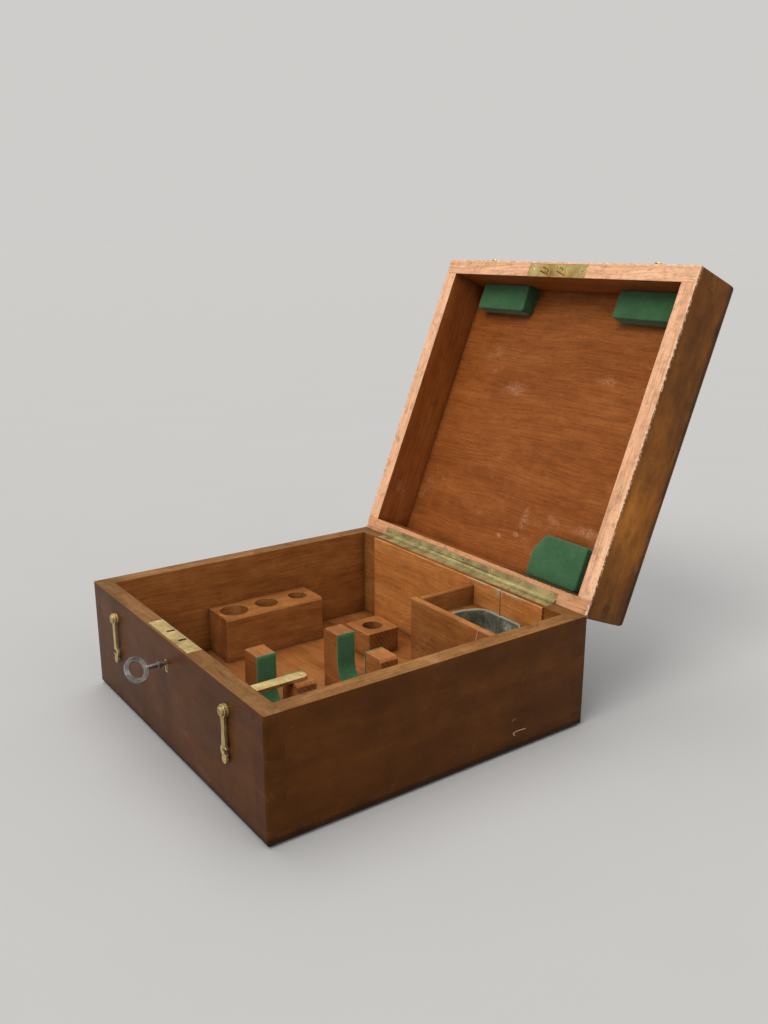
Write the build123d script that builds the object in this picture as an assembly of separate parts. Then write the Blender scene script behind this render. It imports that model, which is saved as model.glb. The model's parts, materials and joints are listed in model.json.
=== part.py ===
# Fitted mahogany case for a hand instrument: a dovetailed box with a hinged lid,
# cradles and sockets inside, a lock with its key, two swing hooks and a drop handle.
# Frame: origin at the centre of the underside, +X right, +Y towards the hinge, +Z up.
# The lid is drawn closed and then swung back to its stop, which is how the case rests.
# Sizes are in millimetres and degrees.

import os
from math import asin, cos, degrees, radians, sin, tan

from build123d import *

os.makedirs("parts", exist_ok=True)

# Carcass
case_width = 290.0
case_depth = 275.0
case_height = 90.0
lid_height = 48.0
wall = 13.5
base_thickness = 9.0
panel_thickness = 9.0
rim_gap = 0.2
corner_round = 2.0
base_round = 3.5
lid_round = 4.5
lid_end_round = 8.5
lid_open_angle = 112.0

# Dovetails
case_tails = 3
lid_tails = 2
pin_tip = 5.0
tail_slope = 6.0

# Strap hinge along the back
hinge_margin = 32.5
hinge_inset = 2.0
barrel_radius = 2.6
barrel_clearance = 0.3
lid_knuckle_length = 65.0
knuckle_gap = 0.3
pin_radius = 1.25
leaf_thickness = 1.2
body_leaf_reach = 9.2
lid_leaf_reach = 7.4
stop_relief = 0.75
leaf_screws = 7
leaf_screw_margin = 6.5

# Countersunk wood screws
leaf_screw_head = 1.9
plate_screw_head = 2.4
leaf_screw_shank = 1.2
leaf_screw_length = 11.0
base_screw_head = 3.2
base_screw_shank = 1.7
base_screw_length = 24.0
base_screw_margin = 40.0
base_screw_inset = 7.5
plate_screw_length = 8.0
screw_sides = 8
turned_sides = 16
well_sides = 32
screw_clearance = 0.05
slot_width = 0.7
slot_depth = 0.6
slot_turn = 37.0

# Facing boards on the inside of the back wall
facing_thickness = 2.0
facing_drop = 0.6
facing_margin = 33.0
facing_joint = 80.0
facing_joint_gap = 0.6

# Compartment for telescopes in the back right corner
partition_thickness = 6.0
partition_drop = 5.0
compartment_length = 98.5
partition_distance = 70.5
socket_drop = 22.0
socket_radius = 31.0
socket_depth = 40.0
socket_from_side = 76.0
socket_from_back = 38.5
lining_thickness = 1.0

# Handle cradle with its turn button
cradle_centre_x = 25.0
cradle_front_y = -60.0
cradle_span = 72.0
cradle_thickness = 16.0
cradle_width = 80.0
cradle_height = 50.0
notch_radius = 20.0
notch_floor = 6.0
button_length = 46.0
button_width = 10.0
button_thickness = 2.5
button_screw_head = 2.8
button_screw_shank = 1.6
pivot_clearance = 0.06

# Cup blocks that take the instrument's feet
foot_block_side = 34.0
foot_block_height = 22.0
foot_cup_radius = 9.0
foot_cup_depth = 8.0
foot_from_front = 36.0
foot_from_back = 46.0
foot_from_left = 33.5
foot_from_right = 27.5
rear_foot_from_left = 79.5

# Rack for eyepieces on the left wall
rack_length = 96.0
rack_depth = 34.0
rack_height = 40.0
rack_front_y = -42.0
rack_radii = [12.5, 10.5, 8.5]
rack_hole_depth = 30.0

# Pads in the lid
pad_height = 14.0
baize_thickness = 1.0
corner_pad_from_side = 36.0
corner_pad_length = 59.0
corner_pad_depth = 36.5
corner_pad_cut_x = 12.0
corner_pad_cut_y = 17.0
front_pad_length = 62.0
front_pad_depth = 24.0
front_pad_from_side = 30.0

# Lock in the front wall
lock_width = 50.0
lock_depth = 8.5
lock_height = 30.0
lock_shell = 1.2
selvedge_length = 68.0
selvedge_width = 11.5
selvedge_thickness = 1.5
staple_spacing = 20.0
staple_thickness = 2.4
staple_width = 5.0
staple_drop = 9.0
staple_eye_height = 4.6
staple_rim = 1.0
staple_play = 0.5
bolt_thickness = 2.2
bolt_bar_height = 6.0
bolt_finger_height = 3.2
bolt_stem = 4.0
bolt_throw = 5.0
key_turn_angle = 90.0
key_radius = 1.6
key_bit_reach = 5.5
key_bit_thickness = 1.6
key_bit_length = 4.0
key_drop = 19.0
key_reach_out = 15.0
key_bow_length = 17.0
key_bow_width = 20.0
key_bow_thickness = 2.4
key_bow_bar = 3.4
key_slot_half = 2.3
escutcheon_bar = 1.2
escutcheon_depth = 3.5

# Swing hooks on the front
hook_from_side = 50.0
hook_pivot_drop = 16.0
hook_stud_rise = 12.0
hook_eye_radius = 4.5
hook_arm_width = 5.6
hook_waist = 0.7
hook_thickness = 2.0
hook_stand_off = 1.2
hook_play = 0.3
hook_pivot_radius = 1.6
hook_head_radius = 3.3
hook_head_height = 1.4
hook_knob_radius = 3.0
hook_mouth_angle = 16.0
stud_radius = 1.5
stud_embed = 9.0

# Drop handle on the lid
bail_span = 88.0
bail_drop = 31.0
bail_rod_radius = 2.75
bail_grip_radius = 4.2
bail_grip_length = 46.0
bail_tenon_radius = 2.2
bail_leg_inset = 7.0
bail_leg_bend = 5.5
bail_grip_bend = 9.0
bend_parts = 4
bail_pivot_height = 8.0
ear_thickness = 6.0
ear_radius = 5.0
ear_plate_length = 28.0
ear_plate_width = 14.0
ear_plate_thickness = 1.5
ear_screw_margin = 5.0

# Places that follow from the sizes above
half_width = case_width / 2
half_depth = case_depth / 2
inner_x = half_width - wall
inner_y = half_depth - wall
lid_rim = case_height + rim_gap
lid_top = case_height + lid_height
panel_face = lid_top - panel_thickness
hinge_y = half_depth - hinge_inset
hinge_z = case_height + rim_gap / 2
hinge_length = case_width - 2 * hinge_margin
hinge_axis = Axis((0, hinge_y, hinge_z), (1, 0, 0))
bevel_angle = lid_open_angle / 2 + stop_relief
beyond = 40.0


def block(x_from, x_to, y_from, y_to, z_from, z_to):
    centre = ((x_from + x_to) / 2, (y_from + y_to) / 2, (z_from + z_to) / 2)
    return Pos(*centre) * Box(x_to - x_from, y_to - y_from, z_to - z_from)


def rod(radius, start, direction, length):
    # A round bar that starts at a point and runs along a direction.
    return Plane(origin=start, z_dir=direction) * Cylinder(
        radius, length, align=(Align.CENTER, Align.CENTER, Align.MIN)
    )


def turned_disc(radius, x, z, y_from, y_to):
    # A turned collar or head, drawn with few faces.
    seat = Plane(origin=(x, y_from, z), z_dir=(0, 1, 0))
    return extrude(seat * RegularPolygon(radius, turned_sides), y_to - y_from)


def cross_disc(radius, z, x_from, x_to):
    # The same, lying across the box.
    seat = Plane(origin=(x_from, 0, z), z_dir=(1, 0, 0))
    return extrude(seat * RegularPolygon(radius, turned_sides), x_to - x_from)


def well(radius, bottom, depth):
    # A round hole that stands on its bottom point, drawn with few faces.
    return Pos(*bottom) * extrude(RegularPolygon(radius, well_sides), depth)


def prism_along_x(outline, x_from, x_to):
    # Outline points are (y, z).
    face = Plane.YZ * Polygon(*outline, align=None)
    return Pos(x_from, 0, 0) * extrude(face, x_to - x_from, dir=(1, 0, 0))


def group(solids):
    return Compound(children=[solid for piece in solids for solid in piece.solids()])


def save(name, shape):
    solids = shape.solids()
    whole = solids[0] if len(solids) == 1 else Compound(children=list(solids))
    export_step(whole, f"parts/{name}.step")


def swung_open(shape):
    # Takes a piece of the closed lid to its rest against the stop.
    return shape.rotate(hinge_axis, -lid_open_angle)


# Screws

def many_sided(outline):
    # A turned form with flat sides: outline points are (radius at a corner, height).
    flat = cos(radians(180 / screw_sides))
    right = [(flat * radius, height) for radius, height in outline]
    left = [(-x, height) for x, height in reversed(right)]
    slab = extrude(Plane.XZ * Polygon(*right, *left, align=None), beyond, both=True)
    form = slab
    for index in range(1, screw_sides // 2):
        form &= Rot(0, 0, 360 / screw_sides * index) * slab
    return form


def screw_form(head, shank, length, growth):
    # Countersunk form, head upwards, with its top on the plane z = 0.
    neck_z = shank - head
    outline = [
        (head + growth, 0),
        (shank + growth, neck_z),
        (shank + growth, -length - growth),
    ]
    return many_sided(outline)


def screw(head, shank, length, turn):
    slot = Rot(0, 0, turn) * Pos(0, 0, -slot_depth / 2) * Box(3 * head, slot_width, slot_depth)
    return screw_form(head, shank, length, 0) - slot


def screws_at(places, direction, head, shank, length):
    # Screws whose heads look along a direction.
    made = []
    for index, place in enumerate(places):
        seat = Plane(origin=place, z_dir=direction)
        made.append(seat * screw(head, shank, length, slot_turn * index))
    return made


def bored_for(shape, places, direction, head, shank, length):
    for place in places:
        seat = Plane(origin=place, z_dir=direction)
        shape -= seat * screw_form(head, shank, length, screw_clearance)
    return shape


# Carcass

def envelope(low, high, side_round, end_round):
    # The rounded outside of a box, from which its boards are cut: the arrises over the side
    # boards take one rounding and those over the front and the back another.
    height = high - low
    middle = (low + high) / 2
    plan = Pos(0, 0, low) * extrude(RectangleRounded(case_width, case_depth, corner_round), height)
    front = Plane.XZ * RectangleRounded(case_width, height, side_round)
    side = Plane.YZ * RectangleRounded(case_depth, height, end_round)
    across = Pos(0, 0, middle) * extrude(front, case_depth, both=True)
    along = Pos(0, 0, middle) * extrude(side, case_width, both=True)
    return plan & across & along


def back_bevel(sign):
    # What is cut off a back arris so that the open lid leans on the case: +1 case, -1 lid.
    run = hinge_inset + beyond
    fall = run * tan(radians(bevel_angle))
    outline = [
        (hinge_y, hinge_z),
        (hinge_y, hinge_z + sign * rim_gap),
        (hinge_y + run, hinge_z + sign * rim_gap),
        (hinge_y + run, hinge_z - sign * fall),
    ]
    return prism_along_x(outline, -case_width, case_width)


def tail_outlines(z_from, z_to, count):
    # Tails of a side board at its back end, as (y, z) outlines.
    pitch = (z_to - z_from) / count
    half_end = (pitch - pin_tip) / 2
    half_root = half_end - wall / tail_slope
    outlines = []
    for index in range(count):
        middle = z_from + pitch * (index + 0.5)
        outlines.append([
            (inner_y, middle - half_root),
            (half_depth, middle - half_end),
            (half_depth, middle + half_end),
            (inner_y, middle + half_root),
        ])
    return outlines


def tails(z_from, z_to, count):
    # Every tail of the box: both ends of both side boards.
    made = []
    for outline in tail_outlines(z_from, z_to, count):
        right_back = prism_along_x(outline, inner_x, half_width)
        left_back = mirror(right_back, Plane.YZ)
        made += [right_back, left_back]
        made += [mirror(right_back, Plane.XZ), mirror(left_back, Plane.XZ)]
    return made


def side_board(sign, z_from, z_to, box_tails, outside):
    # A side board with its tails: sign is +1 on the right and -1 on the left.
    near, far = sorted((sign * inner_x, sign * half_width))
    board = block(near, far, -inner_y, inner_y, z_from, z_to)
    for tail in box_tails:
        if tail.center().X * sign > 0:
            board += tail
    return board & outside


def end_board(sign, z_from, z_to, box_tails, outside):
    # A full-width board with sockets for the tails: sign is +1 at the back and -1 in front.
    near, far = sorted((sign * inner_y, sign * half_depth))
    board = block(-half_width, half_width, near, far, z_from, z_to)
    for tail in box_tails:
        if tail.center().Y * sign > 0:
            board -= tail
    return board & outside


# Hinge

body_knuckle = hinge_length / 2 - lid_knuckle_length - knuckle_gap
hinge_bed = rod(
    barrel_radius + barrel_clearance,
    (-hinge_length / 2 - barrel_clearance, hinge_y, hinge_z),
    (1, 0, 0),
    hinge_length + 2 * barrel_clearance,
)


def leaf_plate(sign, reach):
    # The flat of a leaf, let in flush with its rim: sign is -1 on the case and +1 on the lid.
    rim = case_height if sign < 0 else lid_rim
    low, high = sorted((rim, rim + sign * leaf_thickness))
    return block(-hinge_length / 2, hinge_length / 2, hinge_y - reach, hinge_y, low, high)


def hinge_leaf(sign, reach, spans, bore_radius):
    plate = leaf_plate(sign, reach) - hinge_bed
    for span_from, span_to in spans:
        web = leaf_plate(sign, reach) & block(
            span_from, span_to, hinge_y - reach, hinge_y, 0, lid_top
        )
        knuckle = rod(barrel_radius, (span_from, hinge_y, hinge_z), (1, 0, 0), span_to - span_from)
        plate += web + knuckle
    return plate - rod(bore_radius, (-half_width, hinge_y, hinge_z), (1, 0, 0), case_width)


def leaf_screw_places(sign, reach):
    rim = case_height if sign < 0 else lid_rim
    run = hinge_length - 2 * leaf_screw_margin
    row_y = hinge_y - (reach + barrel_radius + barrel_clearance) / 2
    return [
        (-run / 2 + run * index / (leaf_screws - 1), row_y, rim) for index in range(leaf_screws)
    ]


def make_hinge():
    outer = hinge_length / 2
    case_leaf = hinge_leaf(-1, body_leaf_reach, [(-body_knuckle, body_knuckle)], pin_radius)
    inner_end = outer - lid_knuckle_length
    lid_spans = [(-outer, -inner_end), (inner_end, outer)]
    lid_leaf = hinge_leaf(1, lid_leaf_reach, lid_spans, pin_radius + pivot_clearance)
    case_places = leaf_screw_places(-1, body_leaf_reach)
    lid_places = leaf_screw_places(1, lid_leaf_reach)
    kind = (leaf_screw_head, leaf_screw_shank, leaf_screw_length)
    save("hinge_case_leaf", bored_for(case_leaf, case_places, (0, 0, 1), *kind))
    save("hinge_lid_leaf", swung_open(bored_for(lid_leaf, lid_places, (0, 0, -1), *kind)))
    save("hinge_case_screws", group(screws_at(case_places, (0, 0, 1), *kind)))
    save("hinge_lid_screws", swung_open(group(screws_at(lid_places, (0, 0, -1), *kind))))
    save("hinge_pin", rod(pin_radius, (-outer, hinge_y, hinge_z), (1, 0, 0), hinge_length))


# Lock

lock_y = -inner_y - selvedge_width / 2
lock_front = -inner_y - lock_depth
lock_top = case_height - selvedge_thickness
key_z = case_height - key_drop
staple_places = [-staple_spacing / 2, staple_spacing / 2]
selvedge_screw_x = (selvedge_length + lock_width) / 4
bolt_y = (lock_front - inner_y) / 2


def keyhole(radius, slot_half, slot_reach, y_from, y_to):
    # A round hole with a slot below it for the bit.
    hole = turned_disc(radius, 0, key_z, y_from, y_to)
    return hole + block(-slot_half, slot_half, y_from, y_to, key_z - slot_reach, key_z)


def lock_screw_places(rim):
    return [(-selvedge_screw_x, lock_y, rim), (selvedge_screw_x, lock_y, rim)]


def lock_plate(z_from, z_to):
    # The flat that is let into a rim, in the case for the bolt and in the lid for the staples.
    half = selvedge_length / 2
    return block(-half, half, -inner_y - selvedge_width, -inner_y, z_from, z_to)


def make_selvedge():
    plate = lock_plate(lock_top, case_height)
    half_slot = staple_thickness / 2 + staple_play
    low = bolt_y - staple_width / 2 - staple_play
    high = bolt_y + staple_width / 2 + staple_play
    for x in staple_places:
        plate -= block(x - half_slot, x + half_slot, low, high, lock_top, case_height)
    return plate


def make_lock_case():
    half = lock_width / 2
    shell = block(-half, half, lock_front, -inner_y, lock_top - lock_height, lock_top)
    shell -= block(
        -half + lock_shell,
        half - lock_shell,
        lock_front + lock_shell,
        -inner_y - lock_shell,
        lock_top - lock_height + lock_shell,
        lock_top,
    )
    hole = keyhole(
        key_radius + pivot_clearance,
        key_bit_thickness / 2 + pivot_clearance,
        key_bit_reach + staple_play,
        lock_front,
        lock_front + lock_shell,
    )
    return shell - hole


def make_bolt():
    # A bar with two fingers that pass through the eyes of the staples, and a notch for the key.
    low, high = bolt_y - bolt_thickness / 2, bolt_y + bolt_thickness / 2
    eye_middle = lid_rim - staple_drop + staple_rim + staple_eye_height / 2
    finger_top = eye_middle + bolt_finger_height / 2
    bar_bottom = key_z + key_bit_reach * cos(radians(key_turn_angle / 2)) - bolt_finger_height / 2
    bar_top = bar_bottom + bolt_bar_height
    tip = -staple_thickness / 2 - staple_play
    stem_end = tip - bolt_throw - staple_play
    left = staple_places[0] + stem_end - bolt_stem
    bolt = block(left, staple_places[1] + tip, low, high, bar_bottom, bar_top)
    for x in staple_places:
        bolt += block(x + stem_end - bolt_stem, x + stem_end, low, high, bar_bottom, finger_top)
        bolt += block(x + stem_end, x + tip, low, high, finger_top - bolt_finger_height, finger_top)
    notch_middle = -bolt_throw / 2
    notch_top = key_z + key_bit_reach + staple_play
    return bolt - block(
        notch_middle - key_slot_half,
        notch_middle + key_slot_half,
        low,
        high,
        bar_bottom,
        notch_top,
    )


def bow_ring(inset):
    half_sizes = (key_bow_length / 2 - inset, key_bow_width / 2 - inset, 1)
    return scale(RegularPolygon(1, 2 * turned_sides), by=half_sizes)


def make_key():
    # The bit rests half its turn before upright, in the notch of the drawn-back bolt.
    bow_y = -half_depth - key_reach_out
    inside = bolt_y + key_bit_length / 2
    shank = turned_disc(key_radius, 0, key_z, bow_y, inside)
    bit = block(
        -key_bit_thickness / 2,
        key_bit_thickness / 2,
        inside - key_bit_length,
        inside,
        key_z,
        key_z + key_bit_reach,
    )
    collar_y = -half_depth - key_reach_out / 3
    collar = turned_disc(key_radius + 1, 0, key_z, collar_y - 1, collar_y + 1)
    bow_centre = (0, bow_y - key_bow_length / 2 + key_bow_bar / 2, key_z)
    bow_middle = Plane(origin=bow_centre, x_dir=(0, 1, 0), z_dir=(1, 0, 0))
    ring = bow_ring(0) - bow_ring(key_bow_bar)
    bow = extrude(bow_middle * ring, key_bow_thickness / 2, both=True)
    key = shank + collar + bow + bit
    return key.rotate(Axis((0, 0, key_z), (0, 1, 0)), -key_turn_angle / 2)


def make_escutcheon():
    # A keyhole-shaped brass collar let in flush with the front.
    inner_radius = key_radius + 2 * pivot_clearance
    inner_half = key_bit_thickness / 2 + 2 * pivot_clearance
    inner_reach = key_bit_reach + staple_play
    face = -half_depth
    back = face + escutcheon_depth
    outer = keyhole(
        inner_radius + escutcheon_bar, inner_half + escutcheon_bar, inner_reach + escutcheon_bar, face, back
    )
    return outer, outer - keyhole(inner_radius, inner_half, inner_reach, face, back)


def make_link_plate():
    # The plate in the lid rim with its two staples.
    plate = lock_plate(lid_rim, lid_rim + selvedge_thickness)
    bed = plate
    for x in staple_places:
        lug = block(
            x - staple_thickness / 2,
            x + staple_thickness / 2,
            bolt_y - staple_width / 2,
            bolt_y + staple_width / 2,
            lid_rim - staple_drop,
            lid_rim,
        )
        eye_low = lid_rim - staple_drop + staple_rim
        eye_high = eye_low + staple_eye_height
        half_eye = staple_width / 2 - staple_rim
        lug -= block(x - wall, x + wall, bolt_y - half_eye, bolt_y + half_eye, eye_low, eye_high)
        plate += lug
    return bed, plate


# Hooks

hook_x = half_width - hook_from_side
hook_pivot_z = case_height - hook_pivot_drop
hook_reach = hook_pivot_drop + rim_gap + hook_stud_rise
stud_z = hook_pivot_z + hook_reach


def hook_outline():
    # Pivot at the origin, arm along +Y of the sketch, mouth open towards -X.
    stud_hole = stud_radius + hook_play
    eye = RegularPolygon(hook_eye_radius, turned_sides)
    half_arm = hook_arm_width / 2
    arm = Polygon(
        (-half_arm, 0),
        (half_arm, 0),
        (half_arm * hook_waist, hook_reach / 2),
        (half_arm, hook_reach),
        (-half_arm, hook_reach),
        (-half_arm * hook_waist, hook_reach / 2),
        align=None,
    )
    head = Pos(0, hook_reach) * RegularPolygon(hook_eye_radius, turned_sides)
    knob_y = hook_reach + hook_eye_radius + hook_knob_radius / 2
    knob = Pos(0, knob_y) * RegularPolygon(hook_knob_radius, turned_sides)
    outline = eye + arm + head + knob - Circle(hook_pivot_radius + pivot_clearance)
    # The mouth is an arc about the pivot, so that it slides over the stud.
    ring = Circle(hook_reach + stud_hole) - Circle(hook_reach - stud_hole)
    far = hook_reach + hook_eye_radius
    side = far * tan(radians(hook_mouth_angle))
    sector = Polygon((0, 0), (0, 2 * far), (-2 * side, 2 * far), align=None)
    return outline - Pos(0, hook_reach) * Circle(stud_hole) - (ring & sector)


def make_hook(sign):
    # Drawn latched, then turned half round to hang from its pivot.
    back = -half_depth - hook_stand_off
    front_plane = Plane(origin=(0, back, 0), x_dir=(1, 0, 0), z_dir=(0, -1, 0))
    flat = extrude(front_plane * hook_outline(), hook_thickness)
    flat = Pos(hook_x, 0, hook_pivot_z) * flat
    hook = flat if sign > 0 else mirror(flat, Plane.YZ)
    return hook.rotate(Axis((sign * hook_x, 0, hook_pivot_z), (0, 1, 0)), 180)


def hook_shank(x, z, growth):
    # The part of a pivot or stud that is driven into the wood.
    seat = Plane(origin=(x, -half_depth, z), z_dir=(0, 1, 0))
    return extrude(seat * RegularPolygon(leaf_screw_shank + growth, screw_sides), stud_embed + growth)


def hook_pivot(x):
    face = -half_depth
    collar = face - hook_stand_off + pivot_clearance
    shoulder = face - hook_stand_off - hook_thickness - pivot_clearance
    end = shoulder - hook_head_height
    neck = turned_disc(hook_pivot_radius, x, hook_pivot_z, shoulder, collar)
    head = turned_disc(hook_head_radius, x, hook_pivot_z, end, shoulder)
    base = turned_disc(hook_eye_radius, x, hook_pivot_z, collar, face)
    slot = Pos(x, end, hook_pivot_z) * Box(3 * hook_head_radius, 2 * slot_depth, slot_width)
    return neck + head + base + hook_shank(x, hook_pivot_z, 0) - slot


def hook_stud(x):
    face = -half_depth
    collar = face - hook_stand_off / 2
    shoulder = face - hook_stand_off - hook_thickness - hook_play
    neck = turned_disc(stud_radius, x, stud_z, shoulder, collar)
    head = turned_disc(hook_head_radius, x, stud_z, shoulder - hook_head_height, shoulder)
    base = turned_disc(hook_head_radius, x, stud_z, collar, face)
    return neck + head + base + hook_shank(x, stud_z, 0)


# Drop handle

bail_axis_z = lid_top + bail_pivot_height
bail_flat_angle = degrees(asin((bail_pivot_height - bail_grip_radius) / bail_drop))


def bend_points(centre, radius, angle_from, angle_to):
    # Points round a bend, a few to the quarter turn.
    turns = [angle_from + (angle_to - angle_from) * part / bend_parts for part in range(bend_parts + 1)]
    return [
        (centre[0] + radius * cos(radians(turn)), centre[1] + radius * sin(radians(turn))) for turn in turns
    ]


def make_bail():
    # Drawn hanging from its pivots on the closed lid, as if the lid stood upright on its hinge.
    end = bail_span / 2 - pivot_clearance
    leg = bail_span / 2 - bail_leg_inset
    left = [(-end, 0)]
    left += bend_points((-leg - bail_leg_bend, -bail_leg_bend), bail_leg_bend, 90, 0)
    left += bend_points((-leg + bail_grip_bend, bail_grip_bend - bail_drop), bail_grip_bend, 180, 270)
    right = [(-x, y) for x, y in reversed(left)]
    path = Polyline(*left, *right)
    section = Plane(origin=path @ 0, z_dir=path % 0) * RegularPolygon(bail_rod_radius, screw_sides)
    bail = sweep(section, path=path, transition=Transition.RIGHT)
    half_grip = bail_grip_length / 2
    taper_end = half_grip - (bail_grip_radius - bail_rod_radius)
    grip = many_sided([
        (bail_rod_radius, -half_grip),
        (bail_grip_radius, -taper_end),
        (bail_grip_radius, taper_end),
        (bail_rod_radius, half_grip),
    ])
    bail += Pos(0, -bail_drop, 0) * Rot(0, 90, 0) * grip
    tenon = many_sided([(bail_tenon_radius, -end - ear_thickness), (bail_tenon_radius, end + ear_thickness)])
    tenon = Rot(0, 90, 0) * tenon
    bail += tenon - block(-leg, leg, -bail_drop, bail_drop, -beyond, beyond)
    return bail


def bail_ear(sign):
    inner = bail_span / 2
    middle = sign * (inner + ear_thickness / 2)
    near, far = sorted((sign * inner, sign * (inner + ear_thickness)))
    plate_top = lid_top + ear_plate_thickness
    plate = Pos(middle, 0, lid_top + ear_plate_thickness / 2) * Box(
        ear_plate_width, ear_plate_length, ear_plate_thickness
    )
    plate = chamfer(plate.edges().filter_by(Axis.Z), corner_round)
    foot = block(near, far, -ear_radius, ear_radius, plate_top, bail_axis_z)
    lobe = rod(ear_radius, (near, 0, bail_axis_z), (1, 0, 0), ear_thickness)
    bore = cross_disc(bail_tenon_radius + pivot_clearance, bail_axis_z, near, far)
    return plate + foot + lobe - bore


def ear_screw_places():
    middle = bail_span / 2 + ear_thickness / 2
    y = ear_plate_length / 2 - ear_screw_margin
    return [(sx * middle, sy * y, lid_top + ear_plate_thickness) for sx in (-1, 1) for sy in (-1, 1)]


def make_handle():
    handle_y = 0.0
    kind = (plate_screw_head, leaf_screw_shank, plate_screw_length)
    ears = group([bail_ear(-1), bail_ear(1)])
    ears = bored_for(ears, ear_screw_places(), (0, 0, 1), *kind)
    save("handle_ears", swung_open(Pos(0, handle_y, 0) * ears))
    ear_screws = group(screws_at(ear_screw_places(), (0, 0, 1), *kind))
    save("handle_screws", swung_open(Pos(0, handle_y, 0) * ear_screws))
    # The bail hangs straight down from the pivots of the open lid.
    pivot = swung_open(Pos(0, handle_y, bail_axis_z) * Sphere(1)).center()
    upright = Plane(origin=(0, pivot.Y, pivot.Z), x_dir=(1, 0, 0), z_dir=(0, -1, 0))
    save("handle_bail", upright * make_bail())
    print("handle pivot", round(pivot.Y, 3), round(pivot.Z, 3), "flat angle", round(bail_flat_angle, 2))


# Boards of the case and of the lid

def base_screw_places():
    x = half_width - base_screw_inset
    y = half_depth - base_screw_inset
    far_x = half_width - base_screw_margin
    far_y = half_depth - base_screw_margin
    places = [(sx * x, sy * far_y, 0) for sx in (-1, 1) for sy in (-1, 1)]
    places += [(sx * far_x, sy * y, 0) for sx in (-1, 1) for sy in (-1, 1)]
    return places


def make_case():
    outside = envelope(0, case_height + beyond, base_round, base_round) - back_bevel(1)
    box_tails = tails(base_thickness, case_height, case_tails)
    z_span = (base_thickness, case_height)
    places = base_screw_places()
    kind = (base_screw_head, base_screw_shank, base_screw_length)
    lock_kind = (plate_screw_head, leaf_screw_shank, plate_screw_length)

    back = end_board(1, *z_span, box_tails, outside) - hinge_bed - leaf_plate(-1, body_leaf_reach)
    leaf_kind = (leaf_screw_head, leaf_screw_shank, leaf_screw_length)
    back = bored_for(back, leaf_screw_places(-1, body_leaf_reach), (0, 0, 1), *leaf_kind)

    escutcheon_bed, escutcheon = make_escutcheon()
    selvedge = make_selvedge()
    half = lock_width / 2
    front = end_board(-1, *z_span, box_tails, outside)
    front -= block(-half, half, lock_front, -inner_y, lock_top - lock_height, case_height)
    front -= lock_plate(lock_top, case_height)
    front -= escutcheon_bed
    front -= keyhole(
        key_radius + escutcheon_bar,
        key_bit_thickness / 2 + escutcheon_bar,
        key_bit_reach + escutcheon_bar,
        -half_depth,
        lock_front,
    )
    front = bored_for(front, lock_screw_places(case_height), (0, 0, 1), *lock_kind)
    for sign in (-1, 1):
        front -= hook_shank(sign * hook_x, hook_pivot_z, screw_clearance)

    base = block(-half_width, half_width, -half_depth, half_depth, 0, base_thickness) & outside
    boards = {
        "case_front_wall": front,
        "case_back_wall": back,
        "case_left_wall": side_board(-1, *z_span, box_tails, outside),
        "case_right_wall": side_board(1, *z_span, box_tails, outside),
        "case_base_board": base,
    }
    for name, board in boards.items():
        save(name, bored_for(board, places, (0, 0, -1), *kind))
    save("base_screws", group(screws_at(places, (0, 0, -1), *kind)))
    save("lock_selvedge", bored_for(selvedge, lock_screw_places(case_height), (0, 0, 1), *lock_kind))
    save("lock_screws", group(screws_at(lock_screw_places(case_height), (0, 0, 1), *lock_kind)))
    save("lock_case", make_lock_case())
    save("lock_bolt", make_bolt())
    save("keyhole_escutcheon", escutcheon)
    save("key", make_key())


def make_lid():
    outside = envelope(lid_rim - beyond, lid_top, lid_round, lid_end_round) - back_bevel(-1)
    box_tails = tails(lid_rim, panel_face, lid_tails)
    z_span = (lid_rim, panel_face)
    kind = (leaf_screw_head, leaf_screw_shank, leaf_screw_length)
    lock_kind = (plate_screw_head, leaf_screw_shank, plate_screw_length)
    link_bed, link_plate = make_link_plate()

    back = end_board(1, *z_span, box_tails, outside) - hinge_bed - leaf_plate(1, lid_leaf_reach)
    back = bored_for(back, leaf_screw_places(1, lid_leaf_reach), (0, 0, -1), *kind)
    front = end_board(-1, *z_span, box_tails, outside) - link_bed
    front = bored_for(front, lock_screw_places(lid_rim), (0, 0, -1), *lock_kind)
    for sign in (-1, 1):
        front -= hook_shank(sign * hook_x, stud_z, screw_clearance)
    panel = block(-half_width, half_width, -half_depth, half_depth, panel_face, lid_top) & outside
    panel = bored_for(panel, ear_screw_places(), (0, 0, 1), *lock_kind)

    save("lid_front_wall", swung_open(front))
    save("lid_back_wall", swung_open(back))
    save("lid_left_wall", swung_open(side_board(-1, *z_span, box_tails, outside)))
    save("lid_right_wall", swung_open(side_board(1, *z_span, box_tails, outside)))
    save("lid_panel", swung_open(panel))
    link_plate = bored_for(link_plate, lock_screw_places(lid_rim), (0, 0, -1), *lock_kind)
    save("lock_link_plate", swung_open(link_plate))
    link_screws = group(screws_at(lock_screw_places(lid_rim), (0, 0, -1), *lock_kind))
    save("link_plate_screws", swung_open(link_screws))


# Fittings inside the case

floor = base_thickness
facing_top = case_height - facing_drop
facing_face = inner_y - facing_thickness
partition_top = case_height - partition_drop
partition_back = half_depth - partition_distance
partition_front = partition_back - partition_thickness
side_partition_x = inner_x - compartment_length
socket_top = case_height - socket_drop
socket_x = half_width - socket_from_side
socket_y = half_depth - socket_from_back


def make_facings():
    joint = half_width - facing_joint
    right_end = half_width - facing_margin
    right = block(joint + facing_joint_gap / 2, right_end, facing_face, inner_y, floor, facing_top)
    left = block(-right_end, joint - facing_joint_gap / 2, facing_face, inner_y, floor, facing_top)
    return left, right


def socket_form(radius, depth, back):
    # A round well whose back is cut off flat where it meets the facing board.
    return well(radius, (socket_x, socket_y, socket_top - depth), depth) & block(
        socket_x - radius, socket_x + radius, socket_y - radius, back, socket_top - depth, socket_top
    )


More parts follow.
